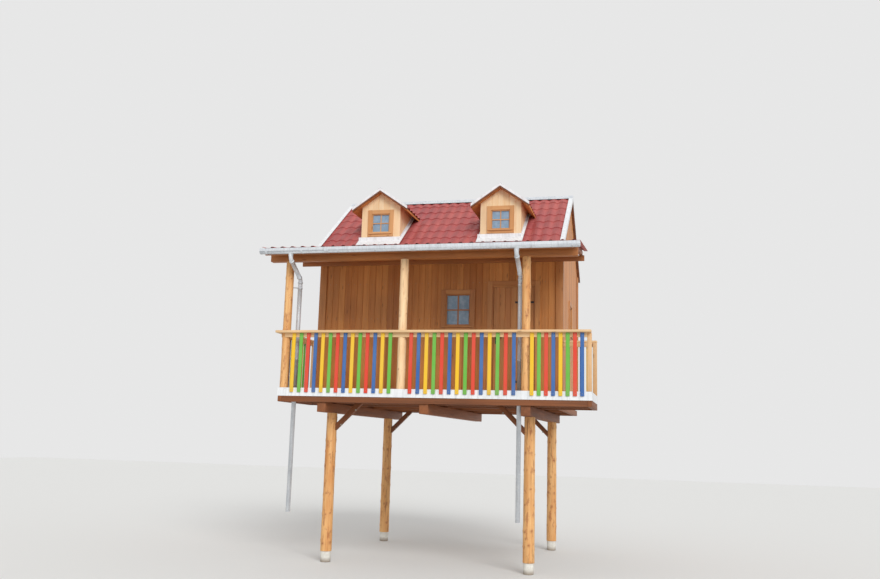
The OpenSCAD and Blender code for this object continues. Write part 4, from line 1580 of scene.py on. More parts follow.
@dataclass
class Railing(SubAssembly):
    """Newels, handrail, nailing rails and the rows of painted balusters.

    Each row has its CAD node, the number of its first paint, its direction and its outer side.
    """

    rail_width: float = 0.110
    rail_ease: float = 0.010
    newel_ease: float = 0.006
    baluster_ease: float = 0.004
    screw_radius: float = 0.005
    screw_insets: tuple[tuple[int, float], ...] = ((1, 0.020), (1, 0.055), (-1, 0.040))
    rows: tuple[tuple[str, int, Vector, Vector], ...] = (
        ("left_bay_balusters", 0, X, -Y), ("right_bay_balusters", 2, X, -Y),
        ("landing_balusters", 0, X, -Y), ("back_balusters", 1, X, Y),
        ("side_balusters", 1, Y, -X),
    )

    def build(self) -> None:
        """Makes every piece of the sub-assembly."""
        for node in ("newels", "nailing_rails"):
            self.ease(node, Slot.PLANED_PINE, Finishes.planed, self.newel_ease)
        self.handrails()
        for row in self.rows:
            self.balusters(*row)

    def handrails(self) -> None:
        """Makes the flat handrail in three straight lengths."""
        low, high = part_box("handrails")
        house_low, house_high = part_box("front_wall")[0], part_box("corner_boards")[1]
        width, ease = self.rail_width, self.rail_ease
        rail = Form(41)
        rail.block(low, at(high.x, low.y + width, high.z), ease)
        rail.block(at(low.x, low.y + width, low.z), at(low.x + width, house_low.y, high.z), ease)
        rail.block(at(house_high.x, high.y - width, low.z), high, ease)
        self.piece("handrail_lengths", rail, Slot.PLANED_PINE, Finishes.planed, "handrails")

    def balusters(self, node: str, first: int, way: Vector, out: Vector) -> None:
        """Makes one row of painted balusters with its screws.

        Args:
            node: The row's CAD node.
            first: Which paint the row starts with.
            way: The direction of the row.
            out: The direction that its outer side faces.
        """
        boxes = sorted(solid_boxes(node), key=lambda box: box[0].dot(way))
        middles = [(low + high) / 2 for low, high in boxes]
        size = boxes[0][1] - boxes[0][0]
        board = Form()
        board.block(-size / 2, size / 2, self.baluster_ease, shade=0.0)
        paints = {f"Finish_{i}": paint.value.material() for i, paint in enumerate(Paint)}
        row = PAINTED_ROW.run(
            f"{node}_painted", Item=board, Count=len(boxes), Start=middles[0],
            Step=middles[1] - middles[0], Seed=7, First=first, **paints,
        )
        crease(row)
        self.piece(f"{node}_painted", row, Slot.PAINTED_WOOD, None, node)
        face = out * abs(size.dot(out)) / 2
        screws = [
            middle + face + Z * end * (size.z / 2 - inset)
            for middle in middles for end, inset in self.screw_insets
        ]
        self.heads(f"{node}_screws", screws, out, self.screw_radius, Slot.GALVANISED)


@dataclass(frozen=True)
class EdgeLine:
    """A wall's lower or upper edge, which may fall away from a peak and climb with depth."""

    height: float
    peak: float = 0.0
    fall: float = 0.0
    climb: float = 0.0
    highest: float = math.inf

    def z(self, along: float, depth: float) -> float:
        """The edge's height at a place along the wall and behind its face."""
        fallen = abs(along - self.peak) * self.fall
        return min(self.height - fallen + depth * self.climb, self.highest)


@dataclass
class BoardWall:
    """A wall of upright boards, grooved at their joints on both faces.

    It runs along one direction and faces another, out, and face is how far its outer face is
    from the origin that way. An opening is where it starts and ends along the wall and its
    lowest and highest point.
    """

    along: Vector
    out: Vector
    face: float
    start: float
    end: float
    thickness: float
    floor: EdgeLine
    top: EdgeLine
    openings: Sequence[tuple[float, float, float, float]] = ()
    breaks: Sequence[float] = ()
    board: float = 0.118
    groove: float = 0.006
    groove_share: float = 0.4
    least_height: float = 0.004

    def place(self, u: float, v: float, z: float) -> Vector:
        """A place by its distance along the wall, its depth behind the face and its height."""
        return self.along * u + self.out * (self.face - v) + Z * z

    def boards(self) -> list[Pair]:
        """Where each board starts and ends along the wall.

        Returns:
            The boards' edges.
        """
        count = max(1, round((self.end - self.start) / self.board))
        width = (self.end - self.start) / count
        lefts = [self.start + number * width for number in range(count)]
        return [(left, left + width) for left in lefts]

    def add_to(self, form: Form) -> None:
        """Adds every board to a form.

        Args:
            form: The form.
        """
        edges = {*self.breaks, *(edge for opening in self.openings for edge in opening[:2])}
        for left, right in self.boards():
            shade = form.random.random()
            inner = sorted(edge for edge in edges if left + NEAR < edge < right - NEAR)
            cuts = [left, *inner, right]
            for a, b in zip(cuts, cuts[1:]):
                self._strip(form, (a, b), (a == left, b == right), shade)

    def _strip(
        self, form: Form, edges: Pair, grooved: tuple[bool, bool], shade: float
    ) -> None:
        """Adds a board's strip in the stretches that no opening takes.

        Args:
            form: The form.
            edges: Where the strip starts and ends along the wall.
            grooved: Whether each of its edges is a joint.
            shade: The board's shade.
        """
        room = (edges[1] - edges[0]) * self.groove_share
        thick, groove = self.thickness, min(self.groove, room)
        section = []
        for u, inward, is_grooved in zip(edges, (groove, -groove), grooved):
            near = [(u, groove), (u + inward, 0.0)] if is_grooved else [(u, 0.0)]
            far = [(along, thick - depth) for along, depth in reversed(near)]
            section += [*far, *near] if inward > 0 else [*reversed(near), *reversed(far)]
        middle = sum(edges) / 2
        stretches = [(self.floor, self.top)]
        for start, end, low, high in self.openings:
            if start < middle < end:
                stretches = [(self.floor, EdgeLine(low)), (EdgeLine(high), self.top)]
        for lower, upper in stretches:
            if upper.z(middle, thick / 2) - lower.z(middle, thick / 2) > self.least_height:
                form.loft([
                    [self.place(u, v, line.z(u, v)) for u, v in section] for line in (lower, upper)
                ], Z, shade=shade)

    def nails(self, heights: Sequence[float], clear: float) -> list[Vector]:
        """Nail places in the middle of each board.

        Args:
            heights: The heights of the rows of nails.
            clear: How far the nails keep from openings and from the top.

        Returns:
            The places on the wall's outer face.
        """
        middles = [(left + right) / 2 for left, right in self.boards()]
        return [
            self.place(u, 0.0, z) for u in middles for z in heights
            if z < self.top.z(u, 0.0) - clear and not any(
                start - clear < u < end + clear and low - clear < z < high + clear
                for start, end, low, high in self.openings
            )
        ]


@dataclass(frozen=True)
class RoofPlane:
    """The main roof's top: two slopes about a ridge along X."""

    ridge_y: float
    ridge_z: float
    pitch: float = math.radians(36)

    @classmethod
    def from_part(cls) -> "RoofPlane":
        """Reads the ridge from the CAD part."""
        _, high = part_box("roof_front")
        return cls(high.y, high.z)

    @property
    def rise(self) -> float:
        """The slope's rise over its run."""
        return math.tan(self.pitch)

    def top(self, y: float) -> float:
        """The height of the roof's top at y."""
        return self.ridge_z - abs(self.ridge_y - y) * self.rise

    def normal(self, side: int = -1) -> Vector:
        """The outward direction of the front slope, at side -1, or of the back one."""
        return at(0, side * math.sin(self.pitch), math.cos(self.pitch))

    def up(self, side: int = -1) -> Vector:
        """The upward direction of the front slope, at side -1, or of the back one."""
        return at(0, -side * math.cos(self.pitch), math.sin(self.pitch))


@dataclass
class House(SubAssembly):
    """The four boarded walls with their corner boards, windows and door.

    Each wall has its CAD node, the number of the axis that it runs along and the side that it
    faces on the other one.
    """

    plane: RoofPlane
    wall: float = 0.100
    casing: float = 0.060
    corner_ease: float = 0.004
    nail: float = 0.0045
    nail_rows: tuple[float, ...] = (0.07, 0.72, 1.37, 2.02, 2.62, 3.25)
    nail_clear: float = 0.085
    near: float = 0.05
    walls: tuple[tuple[str, int, int], ...] = (
        ("front_wall", 0, -1), ("back_wall", 0, 1), ("left_wall", 1, -1), ("right_wall", 1, 1),
    )

    def build(self) -> None:
        """Makes every piece of the sub-assembly."""
        for wall in self.walls:
            self.boards(*wall)
        self.ease("corner_boards", Slot.PLANED_PINE, Finishes.frame_wood, self.corner_ease)
        windows = Form(51)
        for box in solid_boxes("window_frames"):
            WindowUnit(*box).add_to(windows)
        self.piece("window_joinery", windows, Slot.PLANED_PINE, Finishes.frame_wood,
                   "window_frames")
        self.dress("window_glass", Finishes.glass)
        Door(*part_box("door"), *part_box("door_frame")).build()

    def openings_in(self, node: str, axis: int) -> list[tuple[float, float, float, float]]:
        """The openings in a wall.

        Args:
            node: The wall's CAD node.
            axis: The number of the axis that it runs along.

        Returns:
            Where each starts and ends along the axis, and its heights.
        """
        low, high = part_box(node)
        other, found = 1 - axis, []
        for joinery, under in (("window_frames", self.casing), ("door_frame", 0.0)):
            for start, end in solid_boxes(joinery):
                middle = (start[other] + end[other]) / 2
                if low[other] - self.near < middle < high[other] + self.near:
                    found.append((start[axis] + self.casing, end[axis] - self.casing,
                                  start.z + under, end.z - self.casing))
        return found

    def boards(self, node: str, axis: int, side: int) -> None:
        """Makes the boards of one wall and their nails.

        Args:
            node: The wall's CAD node.
            axis: The number of the axis that it runs along.
            side: The side that it faces on the other axis.
        """
        low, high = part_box(node)
        along, across = ((X, Y), (Y, X))[axis]
        rise, ridge = self.plane.rise, self.plane.ridge_y
        gable = EdgeLine(high.z, ridge, rise)
        level = EdgeLine(high.z - self.wall * rise, climb=rise)
        face = side * (high if side > 0 else low).dot(across)
        wall = BoardWall(
            along, across * side, face, low[axis], high[axis], self.wall, EdgeLine(low.z),
            gable if axis else level, self.openings_in(node, axis), (ridge,) if axis else (),
        )
        form = Form(len(node))
        wall.add_to(form)
        self.piece(f"{node}_boards", form, Slot.PINE_BOARDS, Finishes.wall_boards, node)
        nails = wall.nails([low.z + height for height in self.nail_rows], self.nail_clear)
        self.heads(f"{node}_nails", nails, wall.out, self.nail, Slot.GALVANISED)


@dataclass
class WindowUnit:
    """A window's casing, frame and glazing bars, in the place of its CAD solid.

    A window along X faces the back of the house if it is further back than back_from, and
    otherwise the front.
    """

    low: Vector
    high: Vector
    casing: float = 0.060
    proud: float = 0.018
    member: float = 0.045
    bar: float = 0.022
    bar_depth: float = 0.012
    bar_spacing: float = 0.020
    bar_sunk: float = 0.001
    bar_ease: float = 0.002
    sill: float = 0.022
    sill_thick: float = 0.024
    sill_share: float = 0.6
    sill_back: float = 0.004
    rail_share: float = 0.9
    back_from: float = 0.5
    ease: float = 0.003

    def add_to(self, form: Form) -> None:
        """Adds the window to a form, turned to the side that it faces.

        Args:
            form: The form.
        """
        size, middle = self.high - self.low, (self.low + self.high) / 2
        sideways = size.x < size.y
        way, side = (X, middle.x) if sideways else (Y, middle.y - self.back_from)
        outward = way if side > 0 else -way
        deep = min(size.x, size.y)
        form.place = Matrix((Z.cross(outward), -outward, Z)).transposed().to_4x4()
        form.place.translation = middle + outward * (deep / 2 - self.proud)
        half_width = max(size.x, size.y) / 2 - self.casing
        half_height = size.z / 2 - self.casing
        self._casing(form, half_width, half_height)
        self._frame(form, half_width, half_height, deep - self.proud)
        form.place = Matrix.Identity(4)

    def _casing(self, form: Form, width: float, height: float) -> None:
        """Adds the four boards round the opening and the sill.

        Args:
            form: The form, placed at the middle of the opening on the wall's face.
            width: Half of the opening's width.
            height: Half of its height.
        """
        c, lap, front = self.casing, self.member / 2, -self.proud
        for side in SIDES:
            form.block(at(side * (width - lap), front, -height - c),
                       at(side * (width + c), 0, height + c), self.ease)
        for side in (1, -1):
            form.block(at(lap - width, front * self.rail_share, side * (height - lap)),
                       at(width - lap, 0, side * (height + c)), self.ease)
        reach, half = width + c * self.sill_share, self.sill_thick / 2
        form.block(at(-reach, front - self.sill, -height - half),
                   at(reach, self.sill_back, -height + half), self.ease)

    def _frame(self, form: Form, width: float, height: float, depth: float) -> None:
        """Adds the frame in the opening, with its bars before and behind the glass.

        Args:
            form: The form, placed at the middle of the opening on the wall's face.
            width: Half of the opening's width.
            height: Half of its height.
            depth: The frame's depth.
        """
        clear_width, clear_height = width - self.member, height - self.member
        for side in SIDES:
            form.block(at(side * width, 0, -height), at(side * clear_width, depth, height),
                       self.ease)
            form.block(at(-clear_width, 0, side * height),
                       at(clear_width, depth, side * clear_height), self.ease)
        for side in SIDES:
            middle = depth / 2 + side * self.bar_spacing / 2
            bar, half = self.bar / 2, self.bar_depth / 2
            form.block(at(-bar, middle - half, -clear_height),
                       at(bar, middle + half, clear_height), self.bar_ease)
            half -= self.bar_sunk
            form.block(at(-clear_width, middle - half, -bar),
                       at(clear_width, middle + half, bar), self.bar_ease)


@dataclass
class Door(SubAssembly):
    """The ledged door of upright boards, in its frame, with hinges and a lever handle.

    A pair of measures is a radius and a length, or the one at the foot and the one at the head.
    """

    low: Vector
    high: Vector
    frame_low: Vector
    frame_high: Vector
    board: float = 0.105
    play: float = 0.003
    foot_play: float = 0.004
    casing: float = 0.060
    member: float = 0.045
    proud: float = 0.018
    head_sunk: float = 0.002
    hinge_length: float = 0.34
    hinge_half: float = 0.018
    hinge_past: float = 0.012
    hinge_faces: Pair = (-0.004, 0.001)
    hinge_heights: Pair = (0.24, 0.28)
    hinge_ease: float = 0.0015
    pin: Pair = (0.009, 0.032)
    pin_place: Vector = field(default_factory=lambda: at(0.004, -0.007, 0))
    latch_inset: float = 0.055
    handle_height: float = 1.02
    plate: tuple[Vector, Vector] = (at(-0.020, -0.006, -0.110), at(0.020, 0.001, 0.100))
    spindle: Pair = (0.010, 0.048)
    lever: tuple[Vector, Vector] = (at(-0.008, -0.046, 0), at(0.110, -0.046, -0.004))
    lever_size: Pair = (0.012, 0.020)
    lever_ease: float = 0.004

    def build(self) -> None:
        """Makes every piece of the sub-assembly."""
        low, high, leaf = self.low, self.high, Form(61)
        BoardWall(
            X, -Y, -low.y, low.x + self.play, high.x - self.play, high.y - low.y,
            EdgeLine(low.z + self.foot_play), EdgeLine(high.z - self.play), board=self.board,
        ).add_to(leaf)
        self.piece("door_boards", leaf, Slot.PINE_BOARDS, Finishes.frame_wood, "door")
        self._frame()
        self._fittings()

    def _frame(self) -> None:
        """Makes the jambs, the head and the casing."""
        low, high = self.frame_low, self.frame_high
        member, lap, face = self.member, self.member / 2, low.y + self.proud
        left, right, head = low.x + self.casing, high.x - self.casing, high.z - self.casing
        form = Form(62)
        for x, side in ((left, 1), (right, -1)):
            form.block(at(x, face, low.z), at(x + side * member, high.y, head))
            form.block(at(x - side * self.casing, low.y, low.z),
                       at(x + side * lap, face, high.z))
        form.block(at(left + member, face, head - member), at(right - member, high.y, head))
        form.block(at(left + lap, low.y + self.head_sunk, head - lap),
                   at(right - lap, face, high.z))
        self.piece("door_joinery", form, Slot.PLANED_PINE, Finishes.frame_wood, "door_frame")

    def _fittings(self) -> None:
        """Makes the strap hinges and the handle."""
        form = Form(63)
        face, hung, half = self.low.y, self.high.x, self.hinge_half
        radius, reach = self.pin
        foot, head = self.hinge_heights
        front, back = self.hinge_faces
        for z in (self.low.z + foot, self.high.z - head):
            form.block(at(hung - self.hinge_length, face + front, z - half),
                       at(hung + self.hinge_past, face + back, z + half), self.hinge_ease)
            form.lathe([(radius, -reach), (radius, reach)], at(hung, face, z) + self.pin_place)
        latch = at(self.low.x + self.latch_inset, face, self.low.z + self.handle_height)
        low, high = self.plate
        form.block(latch + low, latch + high)
        radius, reach = self.spindle
        form.lathe([(radius, 0.0), (radius, reach)], latch, -Y, 16)
        start, end = self.lever
        lean = (end - start).to_track_quat("X", "Z").to_matrix().to_4x4()
        form.place = Matrix.Translation(latch + (start + end) / 2) @ lean
        half = at((end - start).length, *self.lever_size) / 2
        form.block(-half, half, self.lever_ease)
        self.piece("door_fittings", form, Slot.GALVANISED, Finishes.fittings)


@dataclass
class TileSlope:
    """One slope of a roof, placed by its eave's left end as seen from outside."""

    corner: Vector
    along: Vector
    up: Vector
    width: float
    length: float
    wave_pitch: float = 0.183
    course: float = 0.35
    wave: float = 0.025
    drop: float = 0.015
    columns_a_wave: int = 8

    def point(self, across: float, up: float, depth: float) -> Vector:
        """A place by its distance along the eave, up the slope and below the tiles."""
        out = self.along.cross(self.up)
        return self.corner + self.along * across + self.up * up - out * depth

    def mesh(self, name: str) -> bpy.types.Mesh:
        """Makes the slope's pressed tile sheet.

        Args:
            name: The mesh's name.

        Returns:
            The sheet's mesh in its place, without a thickness.
        """
        waves = max(2, round(self.width / self.wave_pitch))
        courses = max(2, round(self.length / self.course))
        flat = TILES.run(
            name, Columns=waves * self.columns_a_wave + 1, Courses=courses, Width=self.width,
            Course=self.length / courses, Pitch=self.width / waves, Wave=self.wave,
            Drop=self.drop, Finish=Finishes.tiles.material(),
        )
        place = Matrix((self.along, self.up, self.along.cross(self.up))).transposed().to_4x4()
        place.translation = self.corner
        flat.transform(place)
        return flat


def thickened(sheet: bpy.types.Mesh, skin: float = 0.003, angle: float = 50) -> bpy.types.Mesh:
    """A tile sheet with its thickness below it, creased at edges sharper than an angle.

    Args:
        sheet: The tile sheet's mesh.
        skin: Its thickness.
        angle: The angle in degrees.

    Returns:
        The thickened mesh.
    """
    made = modified(sheet, "SOLIDIFY", thickness=skin, offset=-1.0)
    crease(made, math.radians(angle))
    return made


@dataclass
class MainRoof(SubAssembly):
    """Both slopes: tile sheet over a boarded soffit, with eave and verge boards.

    The insets say how far the openings under the dormers keep from the front and the back of
    the dormers' walls, in the tiles and in the planks.
    """

    plane: RoofPlane
    dormer_half: float = 0.345
    tile_insets: Pair = (0.03, 0.05)
    plank_insets: Pair = (0.09, 0.10)
    thick: float = 0.120
    plank: float = 0.125
    plank_thick: float = 0.022
    plank_gap: float = 0.002
    edge_board: float = 0.024
    under_tiles: float = 0.047

    def __post_init__(self) -> None:
        """Reads from the CAD part where the openings under the dormers are along X."""
        self.dormer_low, self.dormer_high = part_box("left_dormer_walls")
        self.spans: list[Pair] = []
        for node in ("left_dormer_walls", "right_dormer_walls"):
            low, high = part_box(node)
            middle = (low.x + high.x) / 2
            self.spans.append((middle - self.dormer_half, middle + self.dormer_half))

    def build(self) -> None:
        """Makes every piece of the sub-assembly."""
        cosine = math.cos(self.plane.pitch)
        for node, side in (("roof_front", -1), ("roof_back", 1)):
            low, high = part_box(node)
            left, eave = (low.x, low.y) if side < 0 else (high.x, high.y)
            slope = TileSlope(
                at(left, eave, self.plane.top(eave)), X * -side, self.plane.up(side),
                high.x - low.x, abs(self.plane.ridge_y - eave) / cosine,
            )
            tiles = slope.mesh(f"{node}_tiles")
            if side < 0:
                self.open_dormers(tiles)
            self.piece(f"{node}_tiles", thickened(tiles), Slot.ROOF_SHEET, None, node)
            self.boarding(node, side, slope)

    def open_dormers(self, mesh: bpy.types.Mesh) -> None:
        """Takes the tile sheet away under each dormer.

        Args:
            mesh: The front slope's tile sheet.
        """
        front = self.dormer_low.y + self.tile_insets[0]
        back = self.dormer_high.y - self.tile_insets[1]
        knife = bmesh.new()
        knife.from_mesh(mesh)
        for span in self.spans:
            for edge in span:
                sliced(knife, X * edge, X)
        for edge in (front, back):
            sliced(knife, Y * edge, Y)
        gone = [
            face for face in knife.faces if front < face.calc_center_median().y < back
            and any(a < face.calc_center_median().x < b for a, b in self.spans)
        ]
        bmesh.ops.delete(knife, geom=gone, context="FACES")
        settled(knife, mesh)

    def boarding(self, node: str, side: int, slope: TileSlope) -> None:
        """Makes the planks below the tiles, the eave board and the verge boards.

        Args:
            node: The slope's CAD node.
            side: The side that it faces along Y.
            slope: The slope.
        """
        edge, width, length = self.edge_board, slope.width, slope.length
        form = Form(71)
        count = round((length - edge) / self.plank)
        step = (length - edge) / count
        for number in range(count):
            start = edge + number * step + self.plank_gap
            end = edge + (number + 1) * step - self.plank_gap
            plank = rectangle(start, end, self.thick - self.plank_thick, self.thick)
            y = slope.point(0, (start + end) / 2, 0).y
            for a, b in self.stretches(side, y, slope.point(0, 0, 0).x, slope.point(width, 0, 0).x):
                section = [slope.point(0, up, depth) for up, depth in plank]
                form.extrude([at(a, p.y, p.z) for p in section], X * (b - a), X)
        board = rectangle(0, edge, self.under_tiles, self.thick)
        form.extrude([slope.point(edge, up, depth) for up, depth in board],
                     slope.along * (width - 2 * edge))
        for start in (0, width - edge):
            form.extrude([slope.point(start + across, 0, depth) for across, depth in board],
                         slope.up * length)
        boarding = form.mesh(node)
        cut(boarding, Y * self.plane.ridge_y, Y * side)
        self.piece(f"{node}_boarding", boarding, Slot.DARK_TIMBER, Finishes.dark_beam, node)

    def stretches(self, side: int, y: float, *ends: float) -> list[Pair]:
        """The stretches of a soffit plank that no dormer opening takes.

        Args:
            side: The side that its slope faces along Y.
            y: The place of its middle along Y.
            *ends: Where its slope starts and ends along X.

        Returns:
            Where each stretch starts and ends along X.
        """
        low, high = min(ends) + self.edge_board, max(ends) - self.edge_board
        front = self.dormer_low.y + self.plank_insets[0]
        back = self.dormer_high.y - self.plank_insets[1]
        stops = [low, high]
        if side < 0 and front < y < back:
            stops[1:1] = [edge for span in self.spans for edge in span]
        return list(zip(stops[::2], stops[1::2]))


@dataclass
class Dormer(SubAssembly):
    """A dormer: boarded face and cheeks, a tiled gable roof, and its flashings."""

    plane: RoofPlane
    name: str
    pitch: float = math.radians(34.6)
    half: float = 0.377
    wall: float = 0.060
    board: float = 0.108
    reach: float = 0.537
    vert: float = 0.085
    under_tiles: float = 0.050
    bed: float = 0.040
    casing: float = 0.060
    planks: int = 5
    plank_gap: float = 0.003
    plank_inset: float = 0.004
    barge_thick: float = 0.022
    barge_sunk: float = 0.012
    barge_insets: Pair = (0.002, 0.001)
    cap_wing: float = 0.065
    cap_roll: float = 0.018
    cap_past: float = 0.006
    cap_short: float = 0.02
    metal: float = 0.002
    flange: float = 0.045
    flashing_past: Pair = (0.02, 0.05)
    valley_start: float = 0.08
    valley_tuck: float = 0.02
    valley_sunk: float = 0.004

    def __post_init__(self) -> None:
        """Reads the dormer's own measures from the CAD part."""
        roof_low, roof_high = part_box(f"{self.name}_dormer_roof")
        self.middle = (roof_low.x + roof_high.x) / 2
        self.front, self.back, self.peak = roof_low.y, roof_high.y, roof_high.z
        self.rise = math.tan(self.pitch)
        self.eave = self.peak - self.reach * self.rise
        self.face_low, self.face_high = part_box(f"{self.name}_dormer_walls")

    def build(self) -> None:
        """Makes every piece of the sub-assembly."""
        self.walls()
        self.tiles()
        self.planking()
        self.trim()
        self.flashing()
        self.valleys()

    def walls(self) -> None:
        """Makes the boards of the face and the cheeks."""
        low, high = min(
            solid_boxes("dormer_windows"), key=lambda box: abs(box[0].x - self.face_low.x)
        )
        trim, outer, plane = self.casing, self.face_low.y, self.plane
        opening = (low.x + trim, high.x - trim, low.z + trim, high.z - trim)
        form = Form(81)
        BoardWall(
            X, -Y, -outer, self.middle - self.half, self.middle + self.half, self.wall,
            EdgeLine(plane.top(outer) - self.bed, climb=plane.rise),
            EdgeLine(self.peak - self.vert, self.middle, self.rise),
            [opening], [self.middle], self.board,
        ).add_to(form)
        soffit = self.peak - self.vert - self.half * self.rise
        for side in SIDES:
            BoardWall(
                Y, X * side, side * self.middle + self.half, outer + self.wall, self.face_high.y,
                self.wall,
                EdgeLine(plane.ridge_z - self.bed, plane.ridge_y, plane.rise, highest=soffit),
                EdgeLine(soffit, climb=self.rise), board=self.board,
            ).add_to(form)
        self.piece(f"{self.name}_dormer_boards", form, Slot.PINE_BOARDS, Finishes.gable_boards,
                   f"{self.name}_dormer_walls")

    def tiles(self) -> None:
        """Makes the two tiled slopes."""
        node = f"{self.name}_dormer_roof"
        slopes = []
        for side in SIDES:
            up = at(-side * math.cos(self.pitch), 0, math.sin(self.pitch))
            corner = at(self.middle + side * self.reach, self.back if side < 0 else self.front,
                        self.eave)
            length = self.reach / math.cos(self.pitch)
            slopes.append(
                TileSlope(corner, Y * side, up, self.back - self.front, length).mesh(node)
            )
        tiles = joined(f"{node}_tiles", *slopes)
        self.bed_in(tiles, False)
        self.piece(f"{node}_tiles", thickened(tiles), Slot.ROOF_SHEET, Finishes.tiles, node)

    def section(self, side: int, y: float, corners: Sequence[Pair]) -> list[Vector]:
        """A section of something on one of the slopes.

        Args:
            side: The slope's side along X.
            y: The section's place.
            corners: How far each corner is from the ridge sideways and below the slope's top.

        Returns:
            The corners' places.
        """
        return [
            at(self.middle + side * reach, y, self.peak - reach * self.rise - depth)
            for reach, depth in corners
        ]

    def planking(self) -> None:
        """Makes the planks under the tiles."""
        node = f"{self.name}_dormer_roof"
        form = Form(83)
        start, step = self.front + self.plank_inset, self.reach / self.planks
        for side in SIDES:
            for number in range(self.planks):
                plank = rectangle(number * step, (number + 1) * step - self.plank_gap,
                                  self.under_tiles, self.vert)
                form.extrude(self.section(side, start, plank), Y * (self.back - start))
        planking = form.mesh(f"{node}_planks")
        self.bed_in(planking, True)
        self.piece(f"{node}_planks", planking, Slot.PINE_BOARDS, Finishes.wall_boards, node)

    def bed_in(self, mesh: bpy.types.Mesh, closed: bool) -> None:
        """Cuts a piece of the dormer's roof where it goes into the main roof."""
        sunk = at(0, self.plane.ridge_y, self.plane.ridge_z - self.bed)
        cut(mesh, sunk, self.plane.normal(), closed)

    def trim(self) -> None:
        """Makes the barge boards and the ridge cap."""
        barge, cap = Form(84), Form(85)
        tip_inset, face_inset = self.barge_insets
        board = rectangle(0, self.reach - tip_inset, self.barge_sunk, self.vert)
        for side in SIDES:
            section = self.section(side, self.front + face_inset, board)
            barge.extrude(section, Y * self.barge_thick, X)
        self.piece(f"{self.name}_dormer_barge", barge, Slot.DARK_TIMBER, Finishes.dark_beam)
        top = at(self.middle, self.front - self.cap_past, self.peak)
        cap.extrude(cap_section(top, -X, self.rise, self.cap_wing, self.cap_roll),
                    Y * (self.back - self.front - self.cap_short))
        self.piece(f"{self.name}_dormer_cap", cap, Slot.GALVANISED, Finishes.zinc)

    def flashing(self) -> None:
        """Makes the angles of metal at the foot of the cheeks."""
        before, past = self.flashing_past
        foot, up, out = self.face_low.y, self.plane.up(), self.plane.normal()
        length = (self.face_high.y - foot) / up.y + past
        form = Form(86)
        for side in SIDES:
            start = at(self.middle + side * self.half, foot - before,
                       self.plane.top(foot - before))
            for leg in ((self.flange, self.metal), (self.metal, self.flange)):
                section = rectangle(0.0, leg[0], 0.0, leg[1])
                form.extrude([start + X * side * a + out * b for a, b in section], up * length)
        self.piece(f"{self.name}_dormer_flashing", form, Slot.WHITE_METAL, Finishes.white_metal)

    def valleys(self) -> None:
        """Makes the metal in the valleys."""
        form, out, plane = Form(87), self.plane.normal(), self.plane
        low_y = plane.ridge_y - (plane.ridge_z - self.eave) / plane.rise
        tuck, sunk, flange = self.valley_tuck, self.valley_sunk, self.flange
        outline = ((-tuck, -tuck), (0.0, -sunk), (flange, -sunk), (flange, 0.0), (0.0, 0.0),
                   (-tuck, sunk - tuck))
        for side in SIDES:
            low = at(self.middle + side * self.reach, low_y, self.eave)
            way = at(self.middle, self.back, plane.top(self.back)) - low
            away = way.normalized().cross(out) * side
            start = low + way * self.valley_start
            form.extrude([start + away * across + out * rise for across, rise in outline],
                         way * (1 - self.valley_start))
        self.piece(f"{self.name}_dormer_valleys", form, Slot.ROOF_SHEET, Finishes.tiles)


def cap_section(
    top: Vector, side: Vector, rise: float, wing: float, roll: float, skin: float = 0.003,
    steps: int = 6,
) -> list[Vector]:
    """The section of a ridge cap: two wings on the slopes and a roll between them.

    Args:
        top: The ridge, at the cap's end.
        side: The direction from the ridge to the first wing.
        rise: The slopes' rise over their run.
        wing: How far each wing reaches sideways.
        roll: The roll's radius.
        skin: The metal's thickness.
        steps: How many steps the roll has.

    Returns:
        The section's points, once round.
    """
    tip, brow = -wing * rise, -roll * rise + skin
    turns = [math.pi * step / steps for step in range(1, steps)]
    arch = [(roll * math.cos(t), roll / 2 * math.sin(t) + brow + skin) for t in turns]
    outer = [(wing, tip + skin), (roll, brow), *arch, (-roll, brow), (-wing, tip + skin)]
    inner = [(-wing, tip), (0.0, -skin), (wing, tip)]
    return [top + side * across + Z * high for across, high in outer + inner]


@dataclass
class RoofTrim(SubAssembly):
    """The ridge cap, the white flashings and their screws, and the dormers' windows."""

    plane: RoofPlane
    wing: float = 0.130
    roll: float = 0.032
    lap: float = 0.05
    lap_rise: float = 0.002
    lap_places: Pair = (-0.85, 0.70)
    screw_radius: float = 0.008
    screw_pitch: float = 0.37
    screw_start: float = 0.08
    screw_end: float = 0.02
    screw_inset: float = 0.022
    screw_rise: float = 0.003
    member: float = 0.034
    bar: float = 0.018

    def build(self) -> None:
        """Makes every piece of the sub-assembly."""
        self.cap()
        self.dress("roof_flashings", Finishes.white_metal)
        form = Form(93)
        for box in solid_boxes("dormer_windows"):
            WindowUnit(*box, member=self.member, bar=self.bar).add_to(form)
        self.piece("dormer_joinery", form, Slot.PLANED_PINE, Finishes.gable_joinery,
                   "dormer_windows")

    def cap(self) -> None:
        """Makes the ridge cap in its laid lengths, with a row of screws along each wing."""
        low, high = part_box("ridge_cap")
        rise, raised = self.plane.rise, self.lap_rise
        top = at(low.x, self.plane.ridge_y, self.plane.ridge_z)
        form = Form(91)
        form.extrude(cap_section(top, -Y, rise, self.wing, self.roll), X * (high.x - low.x))
        for place in self.lap_places:
            lap_top = at(place, top.y, top.z + raised)
            section = cap_section(lap_top, -Y, rise, self.wing, self.roll + raised)
            form.extrude(section, X * self.lap)
        self.piece("ridge_cap_lengths", form, Slot.GALVANISED, Finishes.zinc, "ridge_cap")
        room = high.x - low.x - self.screw_start - self.screw_end
        reach = self.wing - self.screw_inset
        for name, side in (("front", -1), ("back", 1)):
            places = [
                top + at(self.screw_start + i * self.screw_pitch, side * reach,
                         self.screw_rise - reach * rise)
                for i in range(int(room / self.screw_pitch) + 1)
            ]
            self.heads(f"cap_screws_{name}", places, self.plane.normal(side), self.screw_radius,
                       Slot.GALVANISED)


